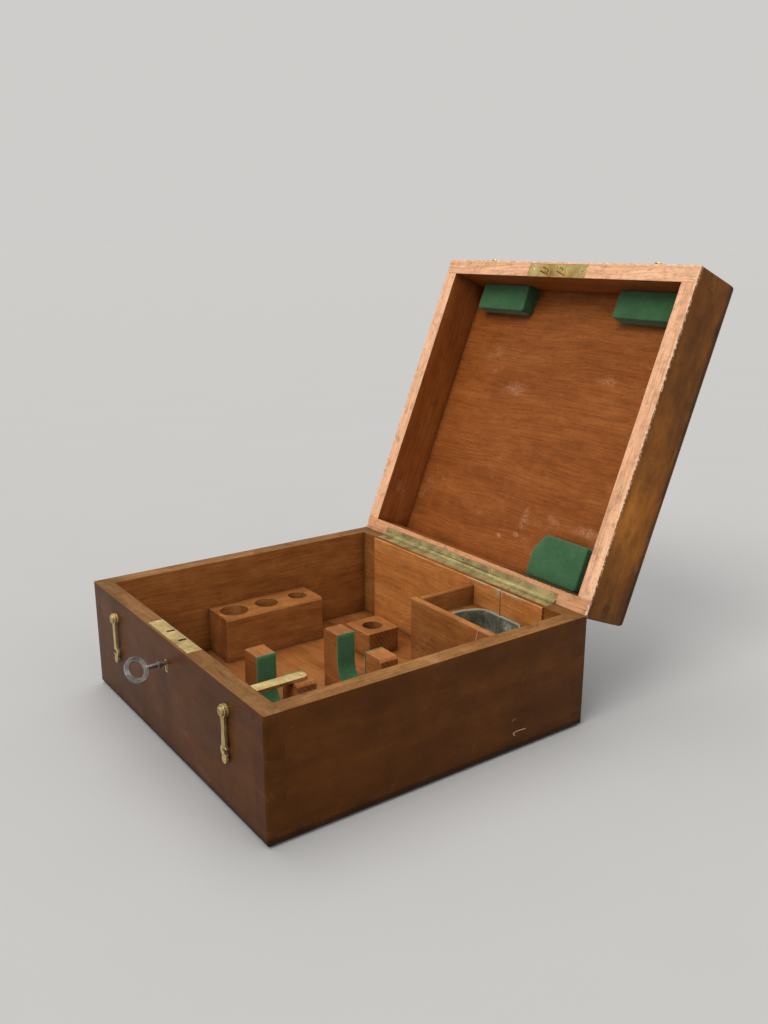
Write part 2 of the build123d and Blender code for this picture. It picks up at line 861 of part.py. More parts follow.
def make_compartment():
    left_facing, right_facing = make_facings()
    save("back_facing_left", left_facing)
    save("back_facing_right", right_facing)
    left = side_partition_x - partition_thickness
    front = block(left, inner_x, partition_front, partition_back, floor, partition_top)
    side = block(left, side_partition_x, partition_back, facing_face, floor, partition_top)
    long_edges = front.edges().filter_by(Axis.X).group_by(Axis.Z)[-1]
    save("compartment_front", fillet(long_edges, partition_thickness / 4))
    cross_edges = side.edges().filter_by(Axis.Y).group_by(Axis.Z)[-1]
    save("compartment_side", fillet(cross_edges, partition_thickness / 4))
    hole = socket_form(socket_radius, socket_depth, facing_face)
    shelf = block(side_partition_x, inner_x, partition_back, inner_y, floor, socket_top)
    shelf -= left_facing + right_facing
    # The gap between the facing boards is left open behind the block.
    shelf -= block(side_partition_x, half_width - facing_margin, facing_face, inner_y, floor, socket_top)
    save("telescope_block", shelf - hole)
    hollow_back = facing_face - lining_thickness
    hollow = socket_form(socket_radius - lining_thickness, socket_depth - lining_thickness, hollow_back)
    save("socket_lining", hole - hollow)


cradle_top = floor + cradle_height
cradle_rear_y = cradle_front_y + cradle_span
button_x = cradle_centre_x + (notch_radius + cradle_width / 2) / 2


def cradle_outline(radius, margin):
    # The round-bottomed notch, as a sketch in x and z.
    centre_z = floor + notch_floor + notch_radius
    circle = Pos(cradle_centre_x, centre_z) * RegularPolygon(radius, well_sides)
    rise = cradle_top + margin - centre_z
    slot = Pos(cradle_centre_x, centre_z + rise / 2) * Rectangle(2 * radius, rise)
    return circle + slot


def cradle_plane(y):
    return Plane(origin=(0, y, 0), x_dir=(1, 0, 0), z_dir=(0, -1, 0))


def cradle_block(y):
    left = cradle_centre_x - cradle_width / 2
    front = y - cradle_thickness / 2
    body = block(left, left + cradle_width, front, front + cradle_thickness, floor, cradle_top)
    upright = body.edges().filter_by(Axis.Y).group_by(Axis.Z)[-1]
    body = chamfer(upright, corner_round)
    notch = extrude(cradle_plane(y) * cradle_outline(notch_radius, beyond), cradle_thickness, both=True)
    return body - notch


def cradle_lining(y):
    outline = cradle_outline(notch_radius, 0) - cradle_outline(notch_radius - lining_thickness, beyond)
    return extrude(cradle_plane(y) * outline, cradle_thickness / 2, both=True)


def make_cradle():
    front = cradle_block(cradle_front_y)
    place = (button_x, cradle_front_y, cradle_top + button_thickness + pivot_clearance)
    kind = (button_screw_head, button_screw_shank, leaf_screw_length)
    save("cradle_front", bored_for(front, [place], (0, 0, 1), *kind))
    save("cradle_rear", cradle_block(cradle_rear_y))
    save("cradle_linings", group([cradle_lining(cradle_front_y), cradle_lining(cradle_rear_y)]))
    # The button rests turned out of the way, along the block.
    middle_y = cradle_front_y - button_length / 2 + button_width / 2
    outline = SlotOverall(button_length, button_width, rotation=90)
    plate = extrude(outline, button_thickness)
    plate = Pos(button_x, middle_y, cradle_top + pivot_clearance / 2) * plate
    # Its countersink is wide enough for the corners of the screw head to turn in it.
    corner = 1 / cos(radians(180 / screw_sides))
    rim = (button_screw_head + pivot_clearance) * corner
    neck = (button_screw_shank + pivot_clearance) * corner
    plate -= Pos(*place) * many_sided([(rim, 0), (neck, neck - rim)])
    plate -= rod(button_screw_shank + pivot_clearance, place, (0, 0, -1), 2 * button_thickness)
    save("turn_button", plate)
    save("turn_button_screw", group(screws_at([place], (0, 0, 1), *kind)))


def foot_places():
    front_y = foot_from_front - inner_y
    return [
        (foot_from_left - inner_x, front_y),
        (inner_x - foot_from_right, front_y),
        (rear_foot_from_left - inner_x, inner_y - foot_from_back),
    ]


def make_foot_blocks():
    blocks = []
    half = foot_block_side / 2
    top = floor + foot_block_height
    for x, y in foot_places():
        body = block(x - half, x + half, y - half, y + half, floor, top)
        body = chamfer(body.edges().filter_by(Axis.Z), corner_round)
        cup_floor = (x, y, top - foot_cup_depth)
        blocks.append(body - well(foot_cup_radius, cup_floor, foot_cup_depth))
    save("foot_blocks", group(blocks))


def make_rack():
    top = floor + rack_height
    rack = block(-inner_x, -inner_x + rack_depth, rack_front_y, rack_front_y + rack_length, floor, top)
    edge = rack.edges().filter_by(Axis.Y).group_by(Axis.Z)[-1].sort_by(Axis.X)[-1]
    rack = chamfer(edge, corner_round)
    pitch = rack_length / len(rack_radii)
    for index, radius in enumerate(rack_radii):
        y = rack_front_y + pitch * (index + 0.5)
        rack -= well(radius, (-inner_x + rack_depth / 2, y, top - rack_hole_depth), rack_hole_depth)
    return rack


# Pads in the lid

def padded_block(outline):
    # A wooden block on the lid panel under a cover of cloth: the outline is in x and y.
    face = panel_face - pad_height
    inner = offset(outline, -baize_thickness, kind=Kind.INTERSECTION)
    core = Pos(0, 0, face + baize_thickness) * extrude(inner, pad_height - baize_thickness)
    whole = Pos(0, 0, face) * extrude(outline, pad_height)
    rounded = fillet(whole.faces().sort_by(Axis.Z)[0].edges(), baize_thickness)
    return core, rounded - core


def make_pads():
    right = half_width - corner_pad_from_side
    left = right - corner_pad_length
    back = inner_y
    front = back - corner_pad_depth
    corner = Polygon(
        (left, back),
        (left, front + corner_pad_cut_y),
        (left + corner_pad_cut_x, front),
        (right, front),
        (right, back),
        align=None,
    )
    core, baize = padded_block(corner)
    save("corner_pad_core", swung_open(core))
    save("corner_pad_baize", swung_open(baize))
    cores = []
    covers = []
    for sign in (-1, 1):
        x = sign * (half_width - front_pad_from_side - front_pad_length / 2)
        y = -inner_y + front_pad_depth / 2
        core, baize = padded_block(Pos(x, y) * Rectangle(front_pad_length, front_pad_depth))
        cores.append(core)
        covers.append(baize)
    save("front_pad_cores", swung_open(group(cores)))
    save("front_pad_baize", swung_open(group(covers)))


make_case()
make_lid()
make_hinge()
make_handle()
make_compartment()
make_cradle()
make_foot_blocks()
save("eyepiece_rack", make_rack())
make_pads()
save("hook_left", make_hook(-1))
save("hook_right", make_hook(1))
save("hook_pivots", group([hook_pivot(-hook_x), hook_pivot(hook_x)]))
save("hook_studs", swung_open(group([hook_stud(-hook_x), hook_stud(hook_x)])))
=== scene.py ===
import bpy
import bmesh
import json
import math
import random
from mathutils import Matrix, Vector, noise


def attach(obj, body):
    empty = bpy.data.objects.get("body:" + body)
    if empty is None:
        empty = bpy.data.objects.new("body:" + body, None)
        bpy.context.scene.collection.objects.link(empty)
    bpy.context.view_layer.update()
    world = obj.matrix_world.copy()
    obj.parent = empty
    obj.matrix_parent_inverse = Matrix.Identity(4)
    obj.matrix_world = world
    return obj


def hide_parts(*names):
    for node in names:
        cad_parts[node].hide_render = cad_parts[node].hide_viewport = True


# Open instrument case: dovetailed mahogany, strap hinge, lined fittings.
# Everything is in metres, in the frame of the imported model, with the lid resting open.
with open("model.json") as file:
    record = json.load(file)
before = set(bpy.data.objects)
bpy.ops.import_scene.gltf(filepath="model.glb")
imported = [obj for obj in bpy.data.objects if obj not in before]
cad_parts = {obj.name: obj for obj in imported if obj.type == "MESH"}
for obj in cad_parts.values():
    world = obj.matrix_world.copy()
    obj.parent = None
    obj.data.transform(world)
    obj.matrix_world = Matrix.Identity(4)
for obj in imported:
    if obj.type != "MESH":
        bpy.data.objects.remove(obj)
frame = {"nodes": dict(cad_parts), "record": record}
nodes = frame["nodes"]
scene = bpy.context.scene
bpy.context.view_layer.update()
print("frame loaded,", len(nodes), "nodes")

case = {
    "halfWidth": 0.145, "halfDepth": 0.1375, "rimZ": 0.0900, "lidRimZ": 0.0902,
    "panelZ": 0.129,  # inner face of the lid's top
    "hingeLine": (0, 0.1355, 0.0901), "openAngle": 112,
}
hingePoint = Vector(case["hingeLine"])
lidAngle = math.radians(case["openAngle"])
toOpen = Matrix.Translation(hingePoint) @ Matrix.Rotation(-lidAngle, 4, "X")
toOpen = toOpen @ Matrix.Translation(-hingePoint)


# Small helpers. Noise settings are (scale, detail, roughness, distortion) and ranges are (low,
# high, value at low, value at high), with the last ones left out where they are the usual ones.

plain = (1, 1, 1)  # no stretch


def feed(socket, value):
    if isinstance(value, bpy.types.NodeSocket):
        socket.id_data.links.new(value, socket)
    else:
        socket.default_value = value


def feedAll(node, values):
    for name, value in values.items() if isinstance(values, dict) else enumerate(values):
        feed(node.inputs[name], value)


def addNode(kind, values=(), tree=None, **settings):
    # A node in the given tree, or else in the tree of the first socket among its values.
    if tree is None:
        sources = values.values() if isinstance(values, dict) else values
        tree = next(item.id_data for item in sources if isinstance(item, bpy.types.NodeSocket))
    node = tree.nodes.new("ShaderNode" + kind)
    for setting, value in settings.items():
        setattr(node, setting, value)
    feedAll(node, values)
    return node


def calc(operation, a, b=0.0, c=0.0, clamp=False):
    return addNode("Math", (a, b, c), operation=operation, use_clamp=clamp).outputs[0]


def chain(operation, first, *others):
    for other in others:
        first = calc(operation, first, other)
    return first


def times(*factors):
    return chain("MULTIPLY", *factors)


def vectorCalc(operation, a, b=(0, 0, 0)):
    outputs = addNode("VectorMath", (a, b), operation=operation).outputs
    return outputs[1] if operation in ("DOT_PRODUCT", "LENGTH") else outputs[0]


def stretched(vector, factors):
    return vectorCalc("MULTIPLY", vector, factors)


def split(vector):
    return dict(zip("xyz", addNode("SeparateXYZ", (vector,)).outputs))


def grey(value):
    return addNode("CombineXYZ", (value, value, value)).outputs[0]


def mix(factor, a, b, blend="MIX"):
    a, b = [(*colour, 1) if isinstance(colour, tuple) else colour for colour in (a, b)]
    settings = {"data_type": "RGBA", "blend_type": blend, "clamp_factor": True}
    return addNode("Mix", {0: factor, 6: a, 7: b}, **settings).outputs[2]


def shadeBy(colour, amount):
    return mix(1.0, colour, grey(amount), "MULTIPLY")


def tint(colour, mask, strength, paint):
    return mix(times(mask, strength), colour, paint)


def fit(value, low, high, toLow=0.0, toHigh=1.0):
    values = (value, low, high, toLow, toHigh)
    return addNode("MapRange", values, interpolation_type="SMOOTHSTEP").outputs[0]


def nearing(value, edge, band, side=1):
    # Rises from 0 to 1 as a value comes near an edge, from below it, or from above with side -1.
    return fit(value, edge - side * band[0], edge - side * band[1])


def cloud(vector, scale, detail=2.0, rough=0.5, twist=0.0):
    values = {"Scale": scale, "Detail": detail, "Roughness": rough, "Distortion": twist}
    return addNode("TexNoise", {"Vector": vector, **values}).outputs[0]


def patchy(vector, recipe, *last):
    # Noise brought into a range; the recipe holds the stretch of each axis, noise and range.
    stretch, noiseSettings, band = recipe
    return fit(cloud(stretched(vector, stretch), *noiseSettings), *band, *last)


def ramp(factor, places, colours):
    node = addNode("ValToRGB", (factor,))
    while len(node.color_ramp.elements) < len(colours):
        node.color_ramp.elements.new(0.5)
    for element, place, colour in zip(node.color_ramp.elements, places, colours):
        element.position = place
        element.color = (*colour, 1)
    return node.outputs[0]


def openness(tree, reach, *band):
    # High on open faces and low in corners and hollows, or the other way round.
    node = addNode("AmbientOcclusion", {"Distance": reach}, tree, samples=4)
    return fit(node.outputs["AO"], *band)


def softEdges(tree, radius, *band):
    # The rounded normal near an edge, and a mask of where it leans away from the face.
    soft = addNode("Bevel", {"Radius": radius}, tree, samples=4).outputs[0]
    raw = addNode("NewGeometry", tree=tree).outputs["Normal"]
    lean = vectorCalc("DOT_PRODUCT", soft, raw)
    return soft, fit(calc("SUBTRACT", 1.0, lean), *band)


def addBump(shader, height, relief, normal=None):
    strength, distance = relief
    bump = addNode("Bump", {"Height": height, "Strength": strength, "Distance": distance})
    if normal is not None:
        feed(bump.inputs["Normal"], normal)
    feed(shader.inputs["Normal"], bump.outputs[0])


def scaled(values, amount):
    return tuple(value * amount for value in values)


def addObject(name, data):
    made = bpy.data.objects.new(name, data)
    scene.collection.objects.link(made)
    return made


def dress(node, material):
    nodes[node].data.materials.clear()
    nodes[node].data.materials.append(material)


def newMaterial(name):
    material = bpy.data.materials.new(name)
    material.use_nodes = True
    return material, material.node_tree, material.node_tree.nodes["Principled BSDF"]


# Camera, floor and light

view = {
    "eye": (0.602, -0.377, 0.358),  # where the photograph was taken from, in the case's own frame
    "aim": (0.002, 0.052, 0.152), "lens": 45.0, "sensor": 36.0, "nearest": 0.02,
    "floorSide": 400.0, "floorDrop": 0.0004, "floorColour": (0.3833, 0.3818, 0.3812),
    "floorSpeck": (9.0, 4), "speckShade": 0.96, "floorRough": 0.75,
    "skyColour": (0.620, 0.610, 0.595), "skyStrength": 1.0,
}

camera = addObject("camera", bpy.data.cameras.new("camera"))
camera.location = view["eye"]
camera.rotation_euler = (Vector(view["aim"]) - camera.location).to_track_quat("-Z", "Y").to_euler()
camera.data.lens = view["lens"]
camera.data.sensor_fit = "HORIZONTAL"
camera.data.sensor_width = view["sensor"]
camera.data.clip_start = view["nearest"]
scene.camera = camera
scene.view_settings.view_transform = "Standard"

world = bpy.data.worlds.new("softRoom")
world.use_nodes = True
scene.world = world
feedAll(world.node_tree.nodes["Background"], ((*view["skyColour"], 1), view["skyStrength"]))

half = view["floorSide"] / 2
floorCorners = [(-half, -half, 0), (half, -half, 0), (half, half, 0), (-half, half, 0)]
floorMesh = bpy.data.meshes.new("floor")
floorMesh.from_pydata(floorCorners, [], [(0, 1, 2, 3)])
floor = addObject("floor", floorMesh)
floor.location.z = -view["floorDrop"]
floorLook, tree, shader = newMaterial("paleFloor")
speck = cloud(addNode("TexCoord", tree=tree).outputs["Object"], *view["floorSpeck"])
darkFloor = scaled(view["floorColour"], view["speckShade"])
floorTone = mix(speck, darkFloor, view["floorColour"])
feedAll(shader, {"Base Color": floorTone, "Roughness": view["floorRough"]})
floorMesh.materials.append(floorLook)

# Soft distant lamps, so that the floor is evenly lit out to where it meets the sky.
lamps = {
    "key": {"from": (0.35, -1.30, 1.45), "spread": 32, "strength": 1.85, "colour": (1.0, 0.97, 0.93)},
    "fill": {"from": (1.60, 0.45, 0.90), "spread": 45, "strength": 0.60, "colour": (0.95, 0.97, 1.0)},
    "top": {"from": (-0.50, 0.25, 1.80), "spread": 48, "strength": 1.35, "colour": (1.0, 0.98, 0.95)},
}
for name, lamp in lamps.items():
    light = bpy.data.lights.new(name, "SUN")
    light.angle = math.radians(lamp["spread"])
    light.energy = lamp["strength"]
    light.color = lamp["colour"]
    towards = -Vector(lamp["from"])
    addObject(name, light).rotation_euler = towards.to_track_quat("-Z", "Y").to_euler()
print("camera, floor and lights ready")


# Mahogany

mahogany = {
    "wander": {"Scale": 14, "Detail": 1},
    "wanderStretch": (0.5, 1, 1), "wanderReach": (0, 0.014, 0.014),
    "bands": ((0.14, 1, 1), (62, 3, 0.55)),  # stretch along the grain, then noise
    "mottle": ((0.7, 1, 1), (85, 3, 0.6, 0.4)),
    "bandShare": 0.62,
    "streaks": ((0.045, 1, 1), (620, 4, 0.6)),
    "pores": ((0.09, 1, 1), (2100, 1, 0.4)), "poreRange": (0.60, 0.70),
    "rings": {"Scale": 95, "Distortion": 5, "Detail": 2}, "heart": (0, 0.11, 0.07),
}


def figureGroup():
    # Grain fields for wood whose length runs along X of the vector that comes in.
    tree = bpy.data.node_groups.new("mahoganyFigure", "ShaderNodeTree")
    tree.interface.new_socket("Vector", in_out="INPUT", socket_type="NodeSocketVector")
    for name in ("Bands", "Streaks", "Pores", "Rings"):
        tree.interface.new_socket(name, in_out="OUTPUT", socket_type="NodeSocketFloat")
    source = tree.nodes.new("NodeGroupInput").outputs[0]
    target = tree.nodes.new("NodeGroupOutput")
    wanderFrom = stretched(source, mahogany["wanderStretch"])
    wander = addNode("TexNoise", {"Vector": wanderFrom, **mahogany["wander"]})
    centred = vectorCalc("SUBTRACT", wander.outputs[1], (0.5, 0.5, 0.5))
    bend = stretched(centred, mahogany["wanderReach"])
    place = vectorCalc("ADD", source, bend)

    def field(name):
        stretch, noiseSettings = mahogany[name]
        return cloud(stretched(place, stretch), *noiseSettings)

    mottle = times(field("mottle"), 1 - mahogany["bandShare"])
    bands = calc("MULTIPLY_ADD", field("bands"), mahogany["bandShare"], mottle)
    pores = fit(field("pores"), *mahogany["poreRange"])
    values = {"Vector": vectorCalc("ADD", source, mahogany["heart"]), **mahogany["rings"]}
    rings = addNode("TexWave", values, wave_type="RINGS", rings_direction="X").outputs[1]
    feedAll(target, {"Bands": bands, "Streaks": field("streaks"), "Pores": pores, "Rings": rings})
    return tree


figure = figureGroup()

woodPlaces = (0.28, 0.50, 0.74)  # where dark, middle and pale lie on the ramp
plainPlaces = (0.30, 0.50, 0.70)
woodTones = {
    "caseOutside": ((0.050, 0.0135, 0.0015), (0.070, 0.0200, 0.0022), (0.098, 0.031, 0.004)),
    "lidOutside": ((0.125, 0.036, 0.004), (0.225, 0.072, 0.008), (0.34, 0.125, 0.017)),
    "caseInside": ((0.155, 0.050, 0.012), (0.245, 0.088, 0.022), (0.34, 0.140, 0.042)),
    "lidInside": ((0.175, 0.047, 0.010), (0.245, 0.072, 0.016), (0.31, 0.104, 0.027)),
    "lidRim": ((0.56, 0.29, 0.165), (0.70, 0.39, 0.23), (0.80, 0.49, 0.31)),
    "lidBackRim": ((0.42, 0.20, 0.095), (0.55, 0.275, 0.14), (0.66, 0.36, 0.20)),
    "caseRim": ((0.135, 0.055, 0.015), (0.215, 0.098, 0.030), (0.33, 0.165, 0.062)),
    "facing": ((0.33, 0.110, 0.026), (0.455, 0.168, 0.042), (0.58, 0.245, 0.072)),
    "fitting": ((0.170, 0.054, 0.013), (0.26, 0.094, 0.024), (0.37, 0.155, 0.048)),
}
grainTurns = {"x": (0, 0, 0), "y": (0, 0, -math.pi / 2)}
seedShift = (0.731, 1.37, 0.917)


def grainVector(place, grain, seed):
    values = {"Vector": place, "Rotation": grainTurns[grain]}
    turned = addNode("Mapping", values, vector_type="POINT")
    return vectorCalc("ADD", turned.outputs[0], scaled(seedShift, seed))


scratches = {
    # shift, scale, width and cover of each set
    "sets": [((0, 0, 0), 11, 0.0007, 0.64), ((3, 5, 1), 23, 0.0009, 0.67)],
    "noise": (1, 0.4, 1.2), "patchScale": 2.3, "patchEdge": 0.03,
    "strength": 0.16, "colour": (0.62, 0.45, 0.32), "cutColour": (0.62, 0.40, 0.24),
}


def thinMarks(place, shift, scale, width, cover):
    # Fine light lines: the contours of a smooth field, kept only in some places.
    place = vectorCalc("ADD", place, shift)
    line = calc("COMPARE", cloud(place, scale, *scratches["noise"]), 0.5, width)
    patch = cloud(place, scale * scratches["patchScale"], 1)
    return times(line, fit(patch, cover, cover + scratches["patchEdge"]))


spot = {
    "broken": (plain, (420, 5, 0.75), (0.36, 0.62)),
    "raggedNoise": (150, 4, 0.7), "ragged": 1.6, "fade": (1.0, 0.1),
}


def spotMask(place, centre, reach):
    # A soft broken patch about a point, with its own reach along each axis.
    offset = vectorCalc("DIVIDE", vectorCalc("SUBTRACT", place, centre), reach)
    away = vectorCalc("LENGTH", offset)
    broken = patchy(place, spot["broken"])
    ragged = calc("SUBTRACT", cloud(place, *spot["raggedNoise"]), 0.5)
    away = calc("ADD", away, times(ragged, spot["ragged"]))
    return times(fit(away, *spot["fade"]), broken)


# Real stains, and painted shadows where a look lists them, each laid as a soft patch.
def addStainsAndShadows(place, colour, stains):
    for centre, reach, stain, strength in stains:
        colour = tint(colour, spotMask(place, centre, reach), strength, stain)
    return colour


def lineMask(place, start, end, width):
    # A scratch from one point to another.
    start, run = Vector(start), Vector(end) - Vector(start)
    fromStart = vectorCalc("SUBTRACT", place, tuple(start))
    along = vectorCalc("DOT_PRODUCT", fromStart, tuple(run))
    share = calc("DIVIDE", along, run.length_squared, clamp=True)
    nearest = vectorCalc("MULTIPLY", grey(share), tuple(run))
    away = vectorCalc("LENGTH", vectorCalc("SUBTRACT", fromStart, nearest))
    return fit(away, width, width / 2)


def closedCoordinates(tree, lid):
    # Place and facing as they are with the case shut, for a board that may belong to the lid.
    coords = addNode("TexCoord", tree=tree)
    place, facing = coords.outputs["Object"], coords.outputs["Normal"]
    if not lid:
        return place, facing
    turned = []
    for vector, centre in ((place, hingePoint), (facing, (0, 0, 0))):
        values = {"Vector": vector, "Center": centre, "Angle": lidAngle}
        turned.append(addNode("VectorRotate", values, rotation_type="X_AXIS").outputs[0])
    return turned


# How the finish and the painted shade change over the case (side 1) and the lid (side -1), which is shut
# here.
zones = {
    "case": {
        "side": 1, "rimZ": case["rimZ"], "farZ": 0.0020, "farFace": (0.0020, 0.0005),
        # painted shade: darker towards the bottom, and much darker in a band along the bottom edge
        "shades": [("z", (0.0, 0.050, 0.84, 1.0)), ("z", (0.0045, 0.0075, 0.38, 1.0))],
        "blotch": (plain, (20, 4, 0.62), (0.34, 0.64, 0.82, 1.12)),
    },
    "lid": {  # darker over the rounded arris of the top, towards the hinge and at the front
        "side": -1, "rimZ": case["lidRimZ"], "farZ": 0.1362, "farFace": (0.1335, 0.1350),
        "shades": [
            # painted shade over the rounded arris of the lid's top
            ("z", (0.1285, 0.1335, 1.0, 0.34)),
            ("y", (0.066, 0.126, 1.0, 0.42)),
            ("y", (-0.060, 0.050, 0.62, 1.0)),
        ],
        "blotch": ((1, 0.6, 1), (48, 4, 0.6), (0.36, 0.62, 0.72, 1.12)),
    },
}
wood = {
    "endGrain": (0.72, 0.80),
    # bands run from a distance inside a face to one nearer it
    "outsideBand": (0.0022, 0.0016), "arrisBand": (0.0022, 0.0008),
    "farBand": (0.0012, 0.0), "rimBand": (0.0035, 0.0025),
    "rimFacing": (0.60, 0.75), "rimEnds": (0.095, 0.130, 1.0),
    "rimDirt": (plain, (130, 5, 0.7), (0.50, 0.68, 1.0, 0.70)),
    "arris": (1.15, 1.6),
    "outsideQuiet": 0.62,
    "streaks": (0.30, 0.70, 0.82, 1.16), "rings": (0.0, 1.0, 0.66, 0.94),
    "poreStrength": 0.38, "poreShade": 0.35,
    "scuffs": ((1, 1, 1.6), (19, 6, 0.72), (0.60, 0.74)), "scuffColour": (0.50, 0.31, 0.20),
    "edge": (0.0011, 0.02, 0.12),  # radius and range
    "nibble": (plain, (260, 4, 0.7), (0.46, 0.60)), "nibbleShare": (0.75, 0.15),
    "chips": ((1, 1, 1.5), (330, 3, 0.75), (0.50, 0.56)),
    "chipStrength": 0.80, "chipColour": (0.76, 0.57, 0.40),
    # painted shade in corners and hollows: reach of the occlusion and its range
    "corners": (0.012, 0.35, 0.85, 0.50, 1.0),  # reach and range
    "roughNoise": (48, 4, 0.6), "roughSpread": 0.24, "rimRough": 0.25, "scuffRough": 0.2,
    "specularTint": (1.0, 0.66, 0.38, 1),
    "waveNoise": (30, 3),
    "heights": (-0.5, 0.35, 0.9, -0.6, -0.8),  # pores, streaks, waves, marks and worn edges
    "relief": (0.55, 0.00035),  # strength and distance of the bump
}


def eased(shade, share):
    # A shade that counts only for its share.
    return calc("MULTIPLY_ADD", calc("SUBTRACT", shade, 1.0), share, 1.0)


def woodZones(zone, axes, nz):
    # Masks for the outside, the rim, the outer arrises and the outer edge of the rim.
    side = zone["side"]
    z = axes["z"]
    faces = [(calc("ABSOLUTE", axes["x"]), case["halfWidth"])]
    faces.append((calc("ABSOLUTE", axes["y"]), case["halfDepth"]))
    walls = [nearing(away, reach, wood["outsideBand"]) for away, reach in faces]
    outside = chain("MAXIMUM", *walls, fit(z, *zone["farFace"]))
    facingOut = fit(nz, *scaled(wood["rimFacing"], side))
    rim = times(facingOut, nearing(z, zone["rimZ"], wood["rimBand"], side))
    nearRim = nearing(z, zone["rimZ"], wood["arrisBand"], side)
    nearFar = nearing(z, zone["farZ"], wood["farBand"], -side)
    nearSides = [nearing(away, reach, wood["arrisBand"]) for away, reach in faces]
    arris = fit(chain("ADD", *nearSides, nearRim, nearFar), *wood["arris"])
    rimEdge = times(nearRim, chain("MAXIMUM", *nearSides))
    return outside, rim, arris, rimEdge


def woodColour(look, zone, place, axes, fields, masks):
    # The colour of sound wood: figure, then the darker outside with its painted shade, and the rim.
    bands, streaks, pores, rings, endGrain = fields
    outside, rim = masks
    toned = {part: ramp(bands, woodPlaces, woodTones[look[part]])
             for part in ("inside", "outside", "rim") if look[part]}
    colour = toned["inside"]
    quiet = 1.0
    if look["outside"]:
        # painted shade of the zone, times random blotches of tone
        shades = [fit(axes[axis], *band) for axis, band in zone["shades"]]
        shade = times(*shades, patchy(place, zone["blotch"]))
        colour = mix(outside, colour, shadeBy(toned["outside"], shade))
        quiet = calc("MULTIPLY_ADD", outside, -wood["outsideQuiet"], 1.0)
    if look["rim"]:
        dirt = patchy(place, wood["rimDirt"])
        ends = fit(calc("ABSOLUTE", axes["y"]), *wood["rimEnds"], look["rimEnds"])
        colour = mix(rim, colour, shadeBy(toned["rim"], times(dirt, ends)))
    colour = shadeBy(colour, eased(fit(streaks, *wood["streaks"]), quiet))
    colour = shadeBy(colour, eased(fit(rings, *wood["rings"]), times(endGrain, quiet)))
    poreColour = scaled(woodTones[look["inside"]][0], wood["poreShade"])
    return tint(colour, pores, wood["poreStrength"], poreColour), quiet


def woodMaterial(name, look):
    # look: grain x or y; lid True for boards that swing; outside, rim and inside name tones.
    material, tree, shader = newMaterial(name)
    zone = zones["lid" if look["lid"] else "case"]
    place, facing = closedCoordinates(tree, look["lid"])
    axes, normals = split(place), split(facing)
    along = grainVector(place, look["grain"], look["seed"])
    grain = addNode("Group", tree=tree, node_tree=figure)
    feed(grain.inputs[0], along)
    streaks, pores = grain.outputs["Streaks"], grain.outputs["Pores"]
    endGrain = fit(calc("ABSOLUTE", normals[look["grain"]]), *wood["endGrain"])
    outside, rim, arris, rimEdge = woodZones(zone, axes, normals["z"])
    colour, quiet = woodColour(look, zone, place, axes, (*grain.outputs, endGrain), (outside, rim))

    # wear: scuffs, thin scratches, stains and cuts, and painted shadow where a board lists one
    scuff = times(patchy(place, wood["scuffs"]), look["scuffs"], quiet)
    colour = mix(scuff, colour, wood["scuffColour"])
    marks = chain("MAXIMUM", *[thinMarks(place, *kind) for kind in scratches["sets"]])
    marks = times(marks, scratches["strength"])
    colour = mix(marks, colour, scratches["colour"])
    colour = addStainsAndShadows(place, colour, look.get("stains", ()))
    for points, width, strength in look.get("cuts", ()):
        for start, end in zip(points, points[1:]):
            cut = times(lineMask(place, start, end, width), strength)
            marks = calc("MAXIMUM", marks, cut)
            colour = mix(cut, colour, scratches["cutColour"])

    # rubbed arrises, chips along the lid's rim and painted shade in the corners
    softNormal, edge = softEdges(tree, *wood["edge"])
    nibble = patchy(place, wood["nibble"])
    worn = times(edge, calc("MULTIPLY_ADD", nibble, *wood["nibbleShare"]))
    if look["outside"]:
        within = calc("SUBTRACT", 1.0, calc("MAXIMUM", outside, rim))
        worn = times(worn, calc("MAXIMUM", arris, within))
    worn = times(worn, look["edgeWear"])
    colour = mix(worn, colour, look["edgeColour"])
    if look["lid"]:
        chips = times(patchy(place, wood["chips"]), rimEdge)
        colour = tint(colour, chips, wood["chipStrength"], wood["chipColour"])
    # painted shade: darker in corners and hollows, from the occlusion node
    colour = shadeBy(colour, openness(tree, *wood["corners"]))

    spread = wood["roughSpread"]
    rough = cloud(place, *wood["roughNoise"])
    rough = calc("MULTIPLY_ADD", rough, spread, look["varnish"] - spread / 2)
    for mask, amount in ((rim, wood["rimRough"]), (scuff, wood["scuffRough"])):
        rough = calc("ADD", rough, times(mask, amount), clamp=True)
    feedAll(shader, {
        "Base Color": colour, "Roughness": rough,
        "Specular IOR Level": look["gloss"], "Specular Tint": wood["specularTint"],
    })

    waves = cloud(place, *wood["waveNoise"])
    layers = zip((pores, streaks, waves, marks, worn), wood["heights"])
    height = chain("ADD", *[times(layer, amount) for layer, amount in layers])
    addBump(shader, height, wood["relief"], softNormal)
    return material


# Marks are placed in the coordinates of the closed case: stains and painted shadows are (centre,
# reach, colour, strength) and cuts are (points, width, strength).
dustyGreen = (0.40, 0.37, 0.25)
caseBoard = {
    "lid": False, "outside": "caseOutside", "rim": "caseRim", "inside": "caseInside", "rimEnds": 0.72,
    "scuffs": 0.22, "edgeWear": 0.45, "edgeColour": (0.24, 0.100, 0.034), "varnish": 0.42, "gloss": 0.16,
}
lidBoard = {
    "lid": True, "outside": "lidOutside", "rim": "lidRim", "inside": "lidInside", "rimEnds": 1.0,
    "scuffs": 0.30, "edgeWear": 0.7, "edgeColour": (0.62, 0.38, 0.23), "varnish": 0.42, "gloss": 0.16,
}
fitting = {
    "lid": False, "outside": None, "rim": None, "inside": "fitting",
    "scuffs": 0.30, "edgeWear": 0.8, "edgeColour": (0.52, 0.30, 0.16), "varnish": 0.55, "gloss": 0.22,
}
